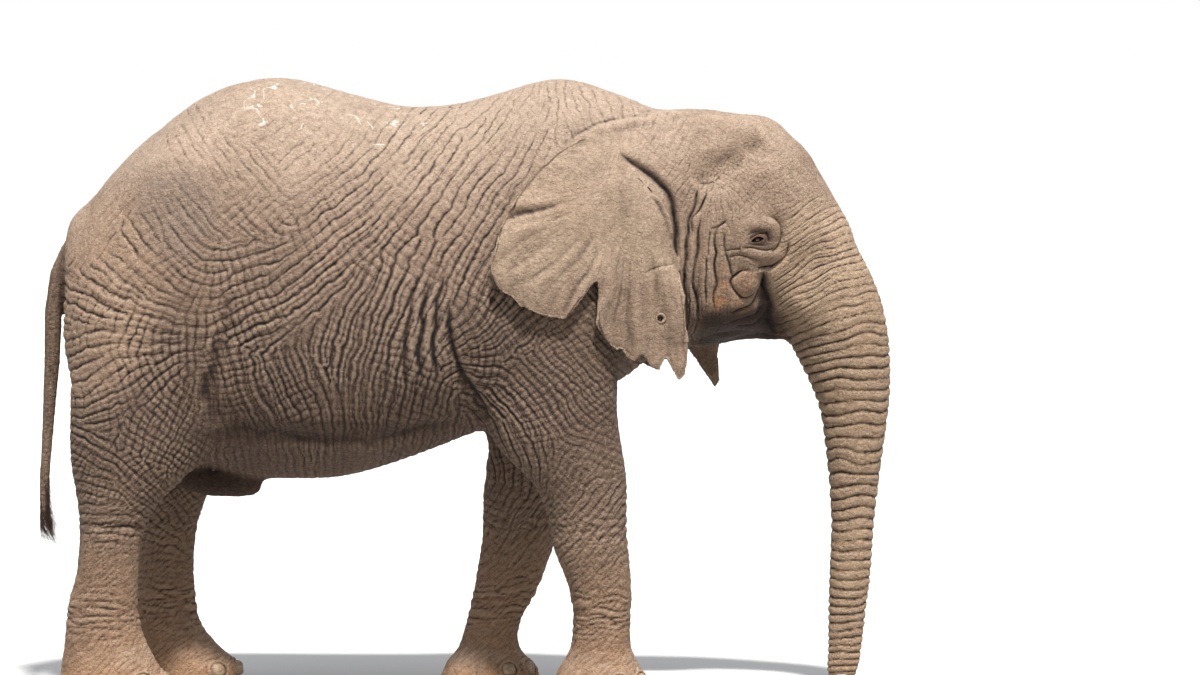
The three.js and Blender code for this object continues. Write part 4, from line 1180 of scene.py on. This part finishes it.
def eye_material():
    m = Sheet("eye")
    gaze = m.mark("gaze")
    streaks = m.noise(900.0, 3.0, 0.6, m.stretched((1.0, 0.1, 1.0)))
    iris = m.mix(m.between(streaks, 0.35, 0.65), rgb(52, 30, 17), rgb(116, 74, 40))
    base = m.mix(m.between(gaze, 0.27, 0.31), rgb(10, 8, 7), iris)
    base = m.mix(m.between(gaze, 0.58, 0.68), base, rgb(34, 24, 20))
    base = m.mix(m.between(gaze, 0.72, 0.95), base, rgb(120, 96, 84))
    return m.finish(base, m.math("MULTIPLY_ADD", streaks, 0.1, 0.1), m.bump(streaks, 0.0002), coat=1.0)


def nail_material():
    m = Sheet("nail")
    bands = m.noise(1.0, 4.0, 0.6, m.stretched((25.0, 25.0, 160.0)))
    grime = m.between(m.noise(30.0, 5.0, 0.65), 0.42, 0.7)
    base = m.mix(m.between(bands, 0.3, 0.7), rgb(196, 170, 142), rgb(160, 134, 110))
    base = m.over(base, grime, 0.7, rgb(118, 94, 76))
    return m.finish(base, m.math("MULTIPLY_ADD", grime, 0.25, 0.5), m.bump(bands, 0.0015))


def hair_material():
    m = Sheet("tail_hair")
    along = m.noise(1.0, 3.0, 0.5, m.stretched((300.0, 300.0, 18.0)))
    base = m.mix(m.between(along, 0.3, 0.7), rgb(42, 28, 23), rgb(88, 60, 46))
    return m.finish(base, m.math("MULTIPLY_ADD", along, 0.2, 0.38), m.bump(along, 0.0004))


MATERIALS = {
    "hide": hide_material(),
    "eyeball": eye_material(),
    "nails": nail_material(),
    "tail_hair": hair_material(),
}
for piece in bpy.data.objects:
    for word, material in MATERIALS.items():
        if piece.name.startswith(word):
            piece.data.materials.append(material)

# ---- Camera, light and stage --------------------------------------------------------------

SENSOR = 36.0
LENS = 4.75 * SENSOR
CAMERA = Vector((0.7066, -30.0, 2.55))
PITCH = math.radians(1.382)
FLOOR = 400.0  # half the side of the stage
SUNLIGHT = Vector((-0.2, 0.82, -1.45))  # the way the sun shines
SKY_STRENGTH = 0.52
SUN_STRENGTH = 4.5


def add_camera():
    data = bpy.data.cameras.new("camera")
    data.sensor_width = SENSOR
    data.lens = LENS
    data.clip_end = 1000
    camera = put("camera", data)
    camera.location = CAMERA
    camera.rotation_euler = (math.pi / 2 - PITCH, 0, 0)
    bpy.context.scene.camera = camera


def add_stage():
    corners = [(-FLOOR, -FLOOR, 0), (FLOOR, -FLOOR, 0), (FLOOR, FLOOR, 0), (-FLOOR, FLOOR, 0)]
    floor = put("floor", mesh_of("floor", corners, [(0, 1, 2, 3)]))
    m = Sheet("floor")
    path = m.node("ShaderNodeLightPath").outputs
    seen = m.math("MAXIMUM", path["Is Camera Ray"], path["Is Glossy Ray"])
    seen = m.math("MAXIMUM", seen, path["Is Transmission Ray"])
    floor.data.materials.append(m.finish(m.mix(seen, (0.32, 0.31, 0.29, 1), (0.92, 0.92, 0.92, 1)), 0.95))


def add_lights():
    m = Sheet("world", bpy.data.worlds)
    bpy.context.scene.world = m.owner
    sky = m.tree.nodes["Background"]
    m.feed(sky.inputs["Color"], (0.95, 0.97, 1.0, 1))
    m.feed(sky.inputs["Strength"], SKY_STRENGTH)
    white = m.node("ShaderNodeBackground", {"Color": (1, 1, 1, 1)})
    path = m.node("ShaderNodeLightPath").outputs
    seen = m.math("MAXIMUM", path["Is Camera Ray"], path["Is Transmission Ray"])
    both = m.node("ShaderNodeMixShader", {0: seen, 1: sky.outputs[0], 2: white.outputs[0]})
    m.feed(m.tree.nodes["World Output"].inputs["Surface"], both.outputs[0])
    data = bpy.data.lights.new("sun", "SUN")
    data.energy = SUN_STRENGTH
    data.angle = math.radians(6)
    data.color = (1.0, 0.975, 0.94)
    put("sun", data).rotation_euler = SUNLIGHT.to_track_quat("-Z", "Y").to_euler()


add_camera()
add_stage()
add_lights()
bpy.context.scene.view_settings.view_transform = "Standard"
